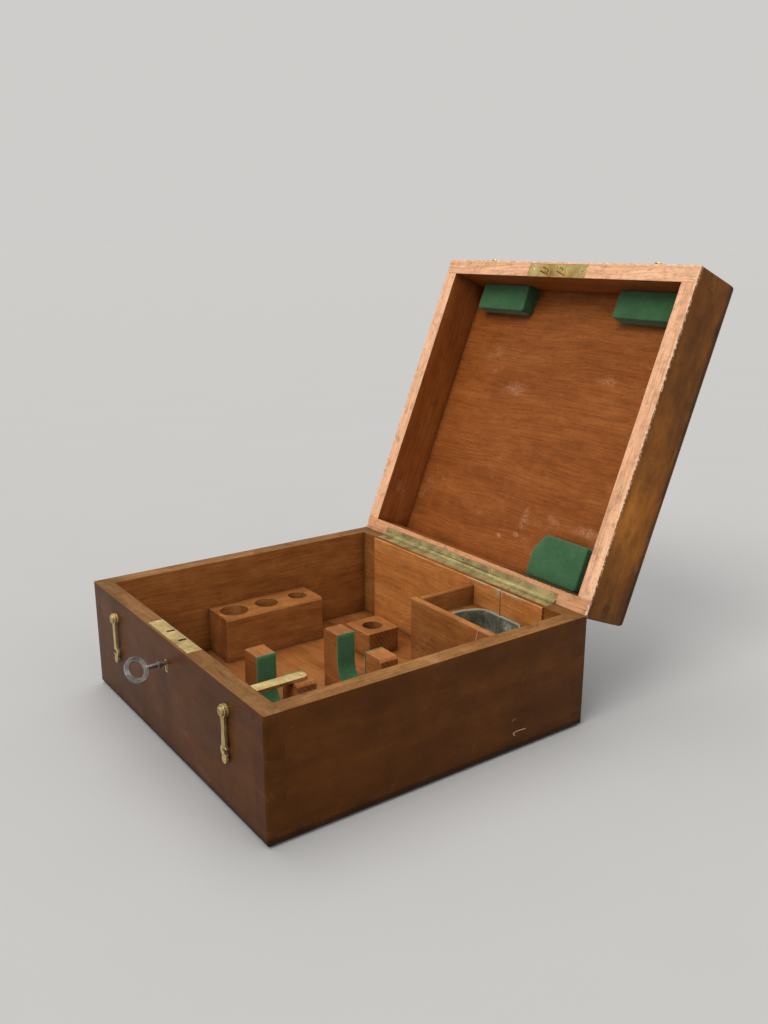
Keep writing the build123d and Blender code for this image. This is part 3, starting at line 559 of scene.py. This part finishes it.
facing = {
    **fitting, "inside": "facing",
    "stains": [
        ((0.0625, 0.122, 0.0875), (0.0085, 0.01, 0.0065), dustyGreen, 1.0),
        ((0.0800, 0.122, 0.0895), (0.0200, 0.01, 0.0030), dustyGreen, 0.8),
        ((0.0350, 0.122, 0.0895), (0.0220, 0.01, 0.0025), dustyGreen, 0.8),
        ((0.0690, 0.122, 0.0675), (0.0280, 0.01, 0.0035), (0.34, 0.30, 0.19), 0.8),
    ],
}
hookScratch = [(0.0773, 0.0155), (0.0690, 0.0160), (0.0652, 0.0152), (0.0666, 0.0132)]
hookScratch = [(case["halfWidth"], y, z) for y, z in hookScratch]
shortScratch = [(case["halfWidth"], 0.0669, 0.0267), (case["halfWidth"], 0.0638, 0.0255)]
sideCuts = [(hookScratch, 0.00045, 0.65), (shortScratch, 0.00035, 0.30)]
partitionCuts = [([(0.1079, 0.061, 0.0840), (0.1059, 0.061, 0.0751)], 0.00045, 0.7)]
rubbedPink = (0.46, 0.235, 0.14)
panelMarks = [
    ((0.0880, 0.0762, 0.129), (0.0210, 0.0065, 0.01), rubbedPink, 0.60),
    ((0.1060, 0.0830, 0.129), (0.0130, 0.0100, 0.01), (0.36, 0.22, 0.15), 0.50),
    ((-0.0070, 0.1015, 0.129), (0.0045, 0.0030, 0.01), rubbedPink, 0.9),
    ((0.0128, 0.0957, 0.129), (0.0045, 0.0042, 0.01), rubbedPink, 0.9),
    ((0.0170, 0.0800, 0.129), (0.0060, 0.0140, 0.01), rubbedPink, 0.55),
    ((-0.0450, -0.0300, 0.129), (0.0200, 0.0080, 0.01), rubbedPink, 0.5),
    ((0.0600, -0.0500, 0.129), (0.0150, 0.0060, 0.01), rubbedPink, 0.45),
]
# painted shadow on the wall below the corner pad, a near-black patch laid three times so that little
# shows through
padShadow = [((0.0890, 0.124, 0.1030), (0.0700, 0.0006, 0.0400), (0.012, 0.024, 0.010), 0.95)] * 3
boards = {  # what the board shares with its kind, the way of its grain, and what is its own
    "case_front_wall": (caseBoard, "x"),
    "case_back_wall": (caseBoard, "x"),
    "case_left_wall": (caseBoard, "y"),
    "case_right_wall": (caseBoard, "y", {"cuts": sideCuts}),
    "case_base_board": (caseBoard, "x", {"rim": None}),
    "lid_front_wall": (lidBoard, "x"),
    # the lid's back wall carries a painted shadow below the corner pad
    "lid_back_wall": (lidBoard, "x", {"rim": "lidBackRim", "stains": padShadow}),
    "lid_left_wall": (lidBoard, "y"),
    "lid_right_wall": (lidBoard, "y"),
    "lid_panel": (lidBoard, "x", {"rim": None, "stains": panelMarks}),
    "back_facing_left": (facing, "x"),
    "back_facing_right": (facing, "x"),
    "compartment_front": (fitting, "x", {"cuts": partitionCuts}),
    "compartment_side": (fitting, "y"),
    "telescope_block": (fitting, "x"),
    "cradle_front": (fitting, "x"),
    "cradle_rear": (fitting, "x"),
    "foot_blocks": (fitting, "x"),
    "eyepiece_rack": (fitting, "y"),
}
for seed, (node, (shared, grain, *own)) in enumerate(boards.items(), 1):
    look = {**shared, **dict(*own), "grain": grain, "seed": seed}
    dress(node, woodMaterial(node + "_wood", look))
print("wood finished on", len(boards), "boards")


# Metal

metal = {
    "tarnishNoise": (5, 0.65),
    "brush": ((0.06, 1, 1), (2600, 2, 0.5), (0.3, 0.7, 0.88, 1.10)),
    "crevice": (0.004, 0.75, 0.35),
    "bloom": (plain, (190, 4, 0.7), (0.50, 0.66)),
    "edge": (0.0004, 0.03, 0.2, 0.0),
    "greenMetal": -0.75, "greenRough": 0.35,
    "roughSpread": 0.35, "roughDrop": 0.17,
    "pitNoise": (420, 4, 0.6), "pitHeight": 0.7, "greenHeight": 0.4,
    "relief": (0.4, 0.00015),
}


def metalMaterial(name, look):
    material, tree, shader = newMaterial(name)
    place = addNode("TexCoord", tree=tree).outputs["Object"]
    tarnish = cloud(place, look["patch"], *metal["tarnishNoise"])
    colour = ramp(tarnish, plainPlaces, look["tones"])
    colour = shadeBy(colour, patchy(place, metal["brush"]))
    crevice = openness(tree, *metal["crevice"])
    bloom = patchy(place, metal["bloom"])
    green = times(calc("MAXIMUM", crevice, bloom), look["verdigris"])
    colour = mix(green, colour, look["stain"])
    softNormal, rubbed = softEdges(tree, *metal["edge"], look["rubbed"])
    colour = mix(rubbed, colour, look["bright"])
    metallic = calc("MULTIPLY_ADD", green, metal["greenMetal"], look["metallic"], clamp=True)
    smooth = look["rough"] - metal["roughDrop"]
    rough = calc("MULTIPLY_ADD", tarnish, metal["roughSpread"], smooth)
    rough = calc("MULTIPLY_ADD", green, metal["greenRough"], rough, clamp=True)
    feedAll(shader, {"Base Color": colour, "Metallic": metallic, "Roughness": rough})
    height = times(green, metal["greenHeight"])
    pits = cloud(place, *metal["pitNoise"])
    height = calc("MULTIPLY_ADD", pits, metal["pitHeight"], height)
    addBump(shader, height, metal["relief"], softNormal)
    return material


metals = {
    "hinge_brass": {
        "tones": ((0.20, 0.14, 0.055), (0.36, 0.28, 0.115), (0.54, 0.44, 0.20)),
        "patch": 70, "verdigris": 0.65, "stain": (0.23, 0.25, 0.13), "rubbed": 0.6,
        "bright": (0.75, 0.62, 0.33), "metallic": 0.85, "rough": 0.50,
    },
    "fitting_brass": {
        "tones": ((0.40, 0.26, 0.09), (0.60, 0.44, 0.17), (0.76, 0.60, 0.27)),
        "patch": 60, "verdigris": 0.35, "stain": (0.16, 0.15, 0.08), "rubbed": 0.7,
        "bright": (0.88, 0.72, 0.38), "metallic": 1.0, "rough": 0.38,
    },
    "key_steel": {
        "tones": ((0.085, 0.078, 0.070), (0.16, 0.150, 0.138), (0.27, 0.255, 0.235)),
        "patch": 120, "verdigris": 0.45, "stain": (0.16, 0.075, 0.035), "rubbed": 0.6,
        "bright": (0.62, 0.61, 0.58), "metallic": 1.0, "rough": 0.42,
    },
}
metalLooks = {name: metalMaterial(name, look) for name, look in metals.items()}
slotOf = {part["node"]: part["material_slot"] for part in frame["record"]["subparts"]}
for node, slot in slotOf.items():
    if slot in metalLooks:
        dress(node, metalLooks[slot])
print("metal finished")


# Shared ways of making pieces

def newPiece(name, points, faces, material, body, swing=False, smooth=True):
    mesh = bpy.data.meshes.new(name)
    mesh.from_pydata([tuple(point) for point in points], [], faces)
    if swing:
        mesh.transform(toOpen)
    mesh.validate()
    for polygon in mesh.polygons:
        polygon.use_smooth = smooth
    mesh.materials.append(material)
    work = bmesh.new()
    work.from_mesh(mesh)
    bmesh.ops.recalc_face_normals(work, faces=work.faces)
    work.to_mesh(mesh)
    work.free()
    piece = addObject(name, mesh)
    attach(piece, body)
    return piece


def thickenCloth(piece, thickness):
    thicken = piece.modifiers.new("thickness", "SOLIDIFY")
    thicken.thickness = thickness
    thicken.offset = 0


def roundedOutline(corners, radius, step):
    # Points round a polygon with its corners rounded, in the order of its corners.
    points = []
    corners = [Vector(corner) for corner in corners]
    count = len(corners)
    for index, here in enumerate(corners):
        following = corners[(index + 1) % count]
        before = (corners[index - 1] - here).normalized()
        after = (following - here).normalized()
        opening = before.angle(after)
        reach = radius / math.tan(opening / 2)
        start, end = here + before * reach, here + after * reach
        centre = here + (before + after).normalized() * (radius / math.sin(opening / 2))
        parts = max(2, round((math.pi - opening) * radius / step))
        for part in range(parts + 1):
            towards = (start if part == 0 else end) - centre
            if 0 < part < parts:
                towards = (start - centre).slerp(end - centre, part / parts)
            points.append(centre + towards.normalized() * radius)
        nextOpening = (here - following).angle(corners[(index + 2) % count] - following)
        runEnd = following + (here - following).normalized() * (radius / math.tan(nextOpening / 2))
        cuts = max(1, round((runEnd - end).length / step))
        points += [end.lerp(runEnd, cut / cuts) for cut in range(1, cuts)]
    return points


def ringNormals(points):
    after = points[1:] + points[:1]
    tangents = [(spot - points[index - 1]).normalized() for index, spot in enumerate(after)]
    return [Vector((tangent.y, -tangent.x)) for tangent in tangents]


def ringFaces(rings, count, first=0):
    return [
        (first + ring * count + spot, first + ring * count + (spot + 1) % count,
         first + (ring + 1) * count + (spot + 1) % count, first + (ring + 1) * count + spot)
        for ring in range(rings - 1) for spot in range(count)
    ]


def fanFaces(first, count, tip):
    return [(first + spot, first + (spot + 1) % count, tip) for spot in range(count)]


# Cloth

baize = {
    "napNoise": (1500, 4, 0.7), "nap": (0.3, 0.7, 0.72, 1.22),
    "patchNoise": (75, 4, 0.6),
    "dust": (plain, (620, 3, 0.8), (0.66, 0.74, 0.0)),
    # painted shade in the cloth's corners and hollows, from the occlusion node
    "corners": (0.01, 0.3, 0.9, 0.55, 1.0),
    # painted shade on cloth turned away from the pad's face
    "sides": (-0.85, -0.45, 1.0),
    # painted highlight along the cloth's top edge: its band and strength
    "highlightBand": (0.0018, 0.0004), "highlightStrength": 0.75,
    "finish": {
        "Roughness": 0.95, "Specular IOR Level": 0.15, "Sheen Weight": 0.35, "Sheen Roughness": 0.55,
    },
    "weaveNoise": (700, 3, 0.6), "weaveHeight": 0.8, "napHeight": 0.5,
    "relief": (0.9, 0.0005),
}


def baizeMaterial(name, look):
    material, tree, shader = newMaterial(name)
    place, facing = closedCoordinates(tree, look.get("lid", False))
    nap = cloud(place, *baize["napNoise"])
    colour = ramp(cloud(place, *baize["patchNoise"]), plainPlaces, look["tones"])
    colour = shadeBy(colour, fit(nap, *baize["nap"]))
    dust = patchy(place, baize["dust"], look["dust"])
    colour = mix(dust, colour, look["dustAndHighlightColour"])
    # painted shade in corners and hollows
    colour = shadeBy(colour, openness(tree, *baize["corners"]))
    # painted shade on the cloth's sides, where it turns away from the face
    if "sides" in look:
        paintedSideShade = fit(split(facing)["z"], *baize["sides"], look["sides"])
        colour = shadeBy(colour, paintedSideShade)
    colour = addStainsAndShadows(place, colour, look.get("stains", ()))
    # painted highlight along the top edge of the cloth, in the pale dust colour
    if "highlightTop" in look:
        highlightTop = nearing(split(place)["z"], look["highlightTop"], baize["highlightBand"])
        colour = tint(colour, highlightTop, baize["highlightStrength"], look["dustAndHighlightColour"])
    feedAll(shader, {"Base Color": colour, "Sheen Tint": (*look["sheen"], 1), **baize["finish"]})
    weave = cloud(place, *baize["weaveNoise"])
    height = times(nap, baize["napHeight"])
    height = calc("MULTIPLY_ADD", weave, baize["weaveHeight"], height)
    addBump(shader, height, baize["relief"])
    return material


greenLook = {
    "tones": ((0.028, 0.090, 0.034), (0.036, 0.108, 0.042), (0.046, 0.128, 0.052)),
    "dust": 0.35, "dustAndHighlightColour": (0.30, 0.36, 0.27), "sheen": (0.55, 0.80, 0.60),
}
greenBaize = baizeMaterial("greenBaize", greenLook)
# the lid pads' cloth, with painted shade on its sides
padBaize = baizeMaterial("padBaize", {**greenLook, "lid": True, "sides": 0.56})
greyBaize = baizeMaterial("greyBaize", {
    "tones": ((0.022, 0.022, 0.013), (0.085, 0.080, 0.050), (0.21, 0.195, 0.130)),
    # a painted highlight runs along the cloth's top edge, at the height given last
    "dust": 0.5, "dustAndHighlightColour": (0.34, 0.32, 0.22), "sheen": (0.75, 0.75, 0.65), "highlightTop": 0.0684,
    "stains": [((0.0750, 0.1213, 0.0610), (0.0095, 0.01, 0.0065), (0.42, 0.42, 0.32), 0.9)],
})

pads = {
    "faceZ": 0.115, "round": 0.0016, "roundParts": 5, "cornerRound": 0.0022, "step": 0.0020,
    "crown": 0.0007, "bulge": 0.0002, "bulgeFrom": 0.35, "bulgeTo": 1.3, "rings": 12, "glued": 0.001,
    "seedShift": (3.1, 1.7),
    "ripples": [(90, 0.0003), (330, 0.00012)],  # scale of the noise and height
}
cornerPadOutline = [(0.1066, 0.124), (0.050, 0.124), (0.050, 0.1015), (0.0595, 0.0875), (0.1066, 0.0875)]
frontPad = {"x": 0.084, "halfWidth": 0.031, "front": -0.124, "back": -0.100}


def makePad(name, corners, seed):
    # A block under tight cloth: corners in x and y with the lid shut, face turned down.
    outline = roundedOutline(corners, pads["cornerRound"], pads["step"])
    outward = ringNormals(outline)
    count = len(outline)
    middle = sum(outline, Vector((0, 0))) / count
    panelZ, faceZ = case["panelZ"], pads["faceZ"]
    radius, bulge, crown = pads["round"], pads["bulge"], pads["crown"]
    drop = panelZ - faceZ
    lowest = drop - radius * pads["bulgeTo"]
    profile = [(0.0, 0.0), (bulge, pads["bulgeFrom"] * drop), (bulge, lowest)]  # outward, down
    for part in range(pads["roundParts"] + 1):
        turn = math.radians(90) * part / pads["roundParts"]
        profile.append((radius * (math.cos(turn) - 1), drop + radius * (math.sin(turn) - 1)))
    points = [
        Vector((*(spot + push * grow), panelZ - depth))
        for grow, depth in profile for spot, push in zip(outline, outward)
    ]
    innerRing = [spot - push * radius for spot, push in zip(outline, outward)]
    for ring in range(1, pads["rings"]):
        share = 1 - ring / pads["rings"]
        rise = crown * (1 - share ** 2)
        points += [Vector((*middle.lerp(spot, share), faceZ - rise)) for spot in innerRing]
    ringsMade = len(profile) + pads["rings"] - 1
    points.append(Vector((*middle, faceZ - crown)))
    faces = ringFaces(ringsMade, count) + fanFaces((ringsMade - 1) * count, count, len(points) - 1)
    offset = Vector((*scaled(pads["seedShift"], seed), 0))
    for point in points:
        if point.z < panelZ - pads["glued"]:
            for scale, height in pads["ripples"]:
                point.z += noise.noise((point + offset) * scale) * height
    return newPiece(name, points, faces, padBaize, "lid", swing=True)


cornerPad = makePad("corner_pad", cornerPadOutline, 1)
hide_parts("corner_pad_baize", "corner_pad_core")
for side, node in ((-1, "left"), (1, "right")):
    left = side * frontPad["x"] - frontPad["halfWidth"]
    right = side * frontPad["x"] + frontPad["halfWidth"]
    front, back = frontPad["front"], frontPad["back"]
    corners = [(right, back), (left, back), (left, front), (right, front)]
    pad = makePad("front_pad_" + node, corners, 2 + side)
    if side < 0:
        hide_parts("front_pad_baize", "front_pad_cores")
print("lid pads covered")

cradle = {
    "x": 0.025, "centreZ": 0.035, "radius": 0.020, "top": 0.0588, "thick": 0.0010,
    "halfDepth": 0.0081, "front": -0.060, "rear": 0.012, "drops": 8, "bends": 28, "rows": 8,
    "rippleScale": 160, "ripple": 0.00025, "clothShare": 0.9,
}


def makeCradleLining(name, y, seed):
    # A strip of cloth down one side of the notch, round the bottom and up the other.
    middle = cradle["radius"] - cradle["thick"] / 2
    centreZ, top, halfDepth = cradle["centreZ"], cradle["top"], cradle["halfDepth"]
    drops, bends, rows = cradle["drops"], cradle["bends"], cradle["rows"]
    path = [(-middle, top + (centreZ - top) * part / drops) for part in range(drops)]
    for part in range(bends + 1):
        turn = math.pi + math.pi * part / bends
        path.append((middle * math.cos(turn), centreZ + middle * math.sin(turn)))
    path += [(-across, z) for across, z in reversed(path[:drops])]
    points = []
    for across, z in path:
        for row in range(rows + 1):
            depth = -halfDepth + 2 * halfDepth * row / rows
            spot = Vector((cradle["x"] + across, y + depth, z))
            ripple = noise.noise(spot * cradle["rippleScale"] + Vector((seed, 0, 0)))
            inward = Vector((-across, 0, max(0.0, centreZ - z))).normalized()
            points.append(spot + inward * abs(ripple * cradle["ripple"]))
    width = rows + 1
    faces = [
        (run * width + row, run * width + row + 1, (run + 1) * width + row + 1, (run + 1) * width + row)
        for run in range(len(path) - 1) for row in range(rows)
    ]
    lining = newPiece(name, points, faces, greenBaize, "case")
    thickenCloth(lining, cradle["thick"] * cradle["clothShare"])
    return lining


frontLining = makeCradleLining("cradle_lining_front", cradle["front"], 4)
makeCradleLining("cradle_lining_rear", cradle["rear"], 5)
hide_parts("cradle_linings")

socket = {
    "x": 0.069, "y": 0.099, "radius": 0.0303, "back": 0.1213, "floor": 0.0288, "top": 0.0684,
    "thick": 0.0010, "seamX": 0.0668, "seamWidth": 0.0007, "seamRise": 0.0009,
    "lump": 0.0030, "lumpScale": (62, 34), "lumpLift": 0.22, "lumpPeak": 1.02,
    "flatBand": 0.0005, "flatLump": 0.4,
    "ragged": 0.0007, "raggedScale": 150, "raggedFrom": 0.8, "raggedGrowth": 5, "raggedLayer": 7,
    "arcParts": 84, "chordParts": 56, "levels": 16,
    "floorRings": 9, "floorShare": 0.97, "floorThick": 0.0008, "floorRise": 0.0006,
    "floorRipple": 0.0003, "floorScale": (60, 0.4), "floorLayer": 3,
}


def socketOutline():
    # Round the well from one end of its flat back to the other, then along the back.
    centre = Vector((socket["x"], socket["y"]))
    cut = math.asin((socket["back"] - socket["y"]) / socket["radius"])
    around = []
    for part in range(socket["arcParts"] + 1):
        turn = math.pi - cut + (math.pi + 2 * cut) * part / socket["arcParts"]
        across, back = socket["radius"] * math.cos(turn), socket["radius"] * math.sin(turn)
        around.append(Vector((socket["x"] + across, socket["y"] + back)))
    start, end = around[-1], around[0]
    around += [start.lerp(end, part / socket["chordParts"]) for part in range(1, socket["chordParts"])]
    return centre, around


def makeSocketLining():
    # Old cloth round the wall of the well, slack in places, and a piece on its floor.
    centre, around = socketOutline()
    count = len(around)
    across, upward = socket["lumpScale"]
    fine = socket["raggedScale"]
    points = []
    for level in range(socket["levels"] + 1):
        share = level / socket["levels"]
        z = socket["floor"] + (socket["top"] - socket["floor"]) * share
        for spot in around:
            inward = (centre - spot).normalized()
            wave = noise.noise(Vector((spot.x * across, spot.y * across, z * upward)))
            wave = max(0.0, wave + socket["lumpLift"])
            swell = math.sin(math.pi * min(1.0, share * socket["lumpPeak"]))
            slack = wave * socket["lump"] * swell
            if spot.y > socket["back"] - socket["flatBand"]:
                fromSeam = (spot.x - socket["seamX"]) / socket["seamWidth"]
                slack = socket["flatLump"] * slack + socket["seamRise"] * math.exp(-fromSeam ** 2)
            fray = noise.noise(Vector((spot.x * fine, spot.y * fine, socket["raggedLayer"])))
            fray = fray * socket["ragged"] * max(0.0, share - socket["raggedFrom"])
            points.append(Vector((*(spot + inward * slack), z + fray * socket["raggedGrowth"])))
    faces = ringFaces(socket["levels"] + 1, count)
    wall = newPiece("socket_lining_wall", points, faces, greyBaize, "case")
    thickenCloth(wall, socket["thick"])
    rings = socket["floorRings"]
    across, inside = socket["floorScale"]
    floorZ = socket["floor"] + socket["floorRise"]
    points = []
    for ring in range(rings):
        share = socket["floorShare"] * (1 - ring / rings)
        for spot in around:
            ripple = noise.noise(Vector((spot.x * across, ring * inside, socket["floorLayer"])))
            ripple *= socket["floorRipple"]
            points.append(Vector((*centre.lerp(spot, share), floorZ + ripple)))
    points.append(Vector((*centre, floorZ)))
    faces = ringFaces(rings, count) + fanFaces((rings - 1) * count, count, len(points) - 1)
    bottom = newPiece("socket_lining_floor", points, faces, greyBaize, "case")
    thickenCloth(bottom, socket["floorThick"])
    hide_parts("socket_lining")


makeSocketLining()
print("linings laid")


# Screws and the drop handle

screwKinds = {
    "leaf": {"head": 0.0019, "shank": 0.0012, "length": 0.0110},
    "plate": {"head": 0.0024, "shank": 0.0012, "length": 0.0080},
    "base": {"head": 0.0032, "shank": 0.0017, "length": 0.0240},
    "button": {"head": 0.0028, "shank": 0.0016, "length": 0.0110},
}
screwCut = {
    "slotWidth": 0.0006, "slotDepth": 0.0006, "slotReach": 1.3, "above": 0.001,
    "sides": 28, "dome": 0.00005, "domeShare": 0.55, "rimShare": 0.93, "rimDome": 0.3,
    "rimDrop": 0.00012, "taperFrom": 0.6, "taperTo": 0.93, "tipShare": 0.55,
}
boxFaces = ((0, 1, 3, 2), (4, 6, 7, 5), (0, 4, 5, 1), (2, 3, 7, 6), (0, 2, 6, 4), (1, 5, 7, 3))


def makeScrews(name, kind, places, facing, body, node):
    # Slotted countersunk wood screws, each turned to its own angle.
    size = screwKinds[kind]
    slot = slotOf[node]
    head, shank, length = size["head"], size["shank"], size["length"]
    sides, dome = screwCut["sides"], screwCut["dome"]
    rows = [  # radius and height, from the middle of the head down to the tip
        (head * screwCut["domeShare"], dome),
        (head * screwCut["rimShare"], dome * screwCut["rimDome"]),
        (head, -screwCut["rimDrop"]), (shank, shank - head),
        (shank, -screwCut["taperFrom"] * length),
        (shank * screwCut["tipShare"], -screwCut["taperTo"] * length),
    ]
    points, faces = [], []
    cutters, cutterFaces = [], []
    turned = Vector((0, 0, facing)).to_track_quat("Z", "Y").to_matrix().to_4x4()
    random.seed(name)
    for place in places:
        seat = Matrix.Translation(place) @ turned @ Matrix.Rotation(random.uniform(0, math.pi), 4, "Z")
        first = len(points)
        for radius, height in rows:
            for spot in range(sides):
                turn = math.tau * spot / sides
                points.append(seat @ Vector((radius * math.cos(turn), radius * math.sin(turn), height)))
        faces += ringFaces(len(rows), sides, first)
        faces.append(tuple(first + spot for spot in range(sides))[::-1])
        points.append(seat @ Vector((0, 0, -length)))
        faces += fanFaces(first + (len(rows) - 1) * sides, sides, len(points) - 1)
        corner = len(cutters)
        for sx in (-1, 1):
            for sy in (-1, 1):
                for z in (-screwCut["slotDepth"], screwCut["above"]):
                    x, y = sx * head * screwCut["slotReach"], sy * screwCut["slotWidth"] / 2
                    cutters.append(seat @ Vector((x, y, z)))
        cutterFaces += [tuple(corner + index for index in face) for face in boxFaces]
    shared = (metalLooks[slot], body, body == "lid")
    screws = newPiece(name, points, faces, *shared, smooth=False)
    cutter = newPiece(name + "_cutter", cutters, cutterFaces, *shared, smooth=False)
    carve = screws.modifiers.new("slots", "BOOLEAN")
    carve.operation = "DIFFERENCE"
    carve.solver = "EXACT"
    carve.object = cutter
    finished = screws.evaluated_get(bpy.context.evaluated_depsgraph_get())
    carved = bpy.data.meshes.new_from_object(finished)
    screws.modifiers.clear()
    screws.data = carved
    bpy.data.objects.remove(cutter)
    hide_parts(node)


def pairs(x, y, z):
    return [(sx * x, sy * y, z) for sx in (-1, 1) for sy in (-1, 1)]


seats = {
    "leafReach": 0.106, "leafCount": 7, "caseRow": 0.12945, "lidRow": 0.13035,
    "plateX": 0.0295, "plateY": -0.12975, "handle": (0.047, 0.009, 0.1395),
    "base": [(0.1375, 0.0975, 0.0001), (0.105, 0.130, 0.0001)], "button": (0.055, -0.060, 0.06156),
}
leafReach, leafGaps = seats["leafReach"], seats["leafCount"] - 1
leafRun = [-leafReach + 2 * leafReach * index / leafGaps for index in range(seats["leafCount"])]
plateSpots = [(side * seats["plateX"], seats["plateY"]) for side in (-1, 1)]
caseLeaf = [(x, seats["caseRow"], case["rimZ"]) for x in leafRun]
lidLeaf = [(x, seats["lidRow"], case["lidRimZ"]) for x in leafRun]
casePlate = [(*spot, case["rimZ"]) for spot in plateSpots]
lidPlate = [(*spot, case["lidRimZ"]) for spot in plateSpots]
handleSpots = pairs(*seats["handle"])
baseSpots = pairs(*seats["base"][0]) + pairs(*seats["base"][1])
screwRows = [  # name, kind, places, 1 facing up or -1 down with the lid shut, body, node
    ("hinge_case_screw_heads", "leaf", caseLeaf, 1, "case", "hinge_case_screws"),
    ("hinge_lid_screw_heads", "leaf", lidLeaf, -1, "lid", "hinge_lid_screws"),
    ("lock_screw_heads", "plate", casePlate, 1, "case", "lock_screws"),
    ("link_screw_heads", "plate", lidPlate, -1, "lid", "link_plate_screws"),
    ("handle_screw_heads", "plate", handleSpots, 1, "lid", "handle_screws"),
    ("base_screw_heads", "base", baseSpots, -1, "case", "base_screws"),
    ("button_screw_head", "button", [seats["button"]], 1, "case", "turn_button_screw"),
]
for row in screwRows:
    makeScrews(*row)
print("screws turned:", sum(len(row[2]) for row in screwRows))

bail = {
    "pivot": (0, 0.238089, 0.194793),
    "halfSpan": 0.044, "legIn": 0.007, "drop": 0.031, "ear": 0.006, "bend": 0.0055, "gripBend": 0.009,
    "rod": 0.00275, "tenon": 0.0022, "grip": 0.0042, "halfGrip": 0.023, "bead": 0.0011,
    "gripShare": 0.9, "beadEnd": 1.04,  # where the swelling and the bead end, as shares of halfGrip
    "gripBand": 0.0001, "swell": 0.6, "step": 0.0012, "bendParts": 10, "bendPull": 0.06, "sides": 24,
}


def bailPath():
    # The middle line of the bail, from one ear down round the grip and up to the other.
    leg = bail["halfSpan"] - bail["legIn"]
    tip = bail["halfSpan"] + bail["ear"]
    low = -bail["drop"]
    corners = ((-tip, 0), (-leg, 0), (-leg, low), (leg, low), (leg, 0), (tip, 0))
    corners = [Vector(corner) for corner in corners]
    radii = (bail["bend"], bail["gripBend"], bail["gripBend"], bail["bend"])
    path = [corners[0]]

    def runTo(end):
        steps = max(1, round((end - path[-1]).length / bail["step"]))
        start = path[-1]
        for step in range(1, steps + 1):
            path.append(start.lerp(end, step / steps))

    for before, here, after, radius in zip(corners, corners[1:], corners[2:], radii):
        start = here + (before - here).normalized() * radius
        end = here + (after - here).normalized() * radius
        runTo(start)
        pull = here + (start + end - 2 * here) * bail["bendPull"]
        for part in range(1, bail["bendParts"] + 1):
            share = part / bail["bendParts"]
            path.append((1 - share) ** 2 * start + 2 * share * (1 - share) * pull + share ** 2 * end)
    runTo(corners[-1])
    return path


def bailRadius(spot):
    if abs(spot.x) > bail["halfSpan"]:
        return bail["tenon"]
    radius = bail["rod"]
    if spot.y < -bail["drop"] + bail["gripBand"]:
        share = abs(spot.x) / bail["halfGrip"]
        swollen, beadEnd = bail["gripShare"], bail["beadEnd"]
        if share < swollen:
            radius += (bail["grip"] - radius) * math.cos(share / swollen * math.pi / 2) ** bail["swell"]
        elif share < beadEnd:
            radius += bail["bead"] * math.sin((share - swollen) / (beadEnd - swollen) * math.pi)
    return radius


def makeBail():
    # One swept brass rod with a swelling grip between two turned beads.
    path = bailPath()
    sides = bail["sides"]
    points = []
    for index, spot in enumerate(path):
        ahead = (path[min(index + 1, len(path) - 1)] - path[max(index - 1, 0)]).normalized()
        across = Vector((-ahead.y, ahead.x))
        radius = bailRadius(spot)
        for side in range(sides):
            turn = math.tau * side / sides
            offset = across * math.cos(turn) * radius
            place = Vector((spot.x + offset.x, -math.sin(turn) * radius, spot.y + offset.y))
            points.append(Vector(bail["pivot"]) + place)
    faces = ringFaces(len(path), sides)
    faces += [tuple(range(sides)), tuple(range(len(points) - sides, len(points)))]
    piece = newPiece("drop_handle", points, faces, metalLooks["fitting_brass"], "handle")
    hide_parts("handle_bail")


makeBail()
print("handle swept")


# Softened edges on the solids that stay

edges = {
    "widths": {
        "case_mahogany": 0.00025, "fitting_mahogany": 0.0006, "fitting_brass": 0.0003,
        "hinge_brass": 0.00015, "key_steel": 0.0003,
    },
    "weld": 0.000004, "segments": 2, "angle": 40,
}
for node, slot in slotOf.items():
    if slot not in edges["widths"] or nodes[node].hide_render:
        continue
    weld = nodes[node].modifiers.new("weld", "WELD")
    weld.merge_threshold = edges["weld"]
    ease = nodes[node].modifiers.new("ease", "BEVEL")
    ease.width = edges["widths"][slot]
    ease.segments = edges["segments"]
    ease.limit_method = "ANGLE"
    ease.angle_limit = math.radians(edges["angle"])
    ease.harden_normals = False
    even = nodes[node].modifiers.new("even", "WEIGHTED_NORMAL")
    even.keep_sharp = True
print("edges eased")

bpy.context.view_layer.update()
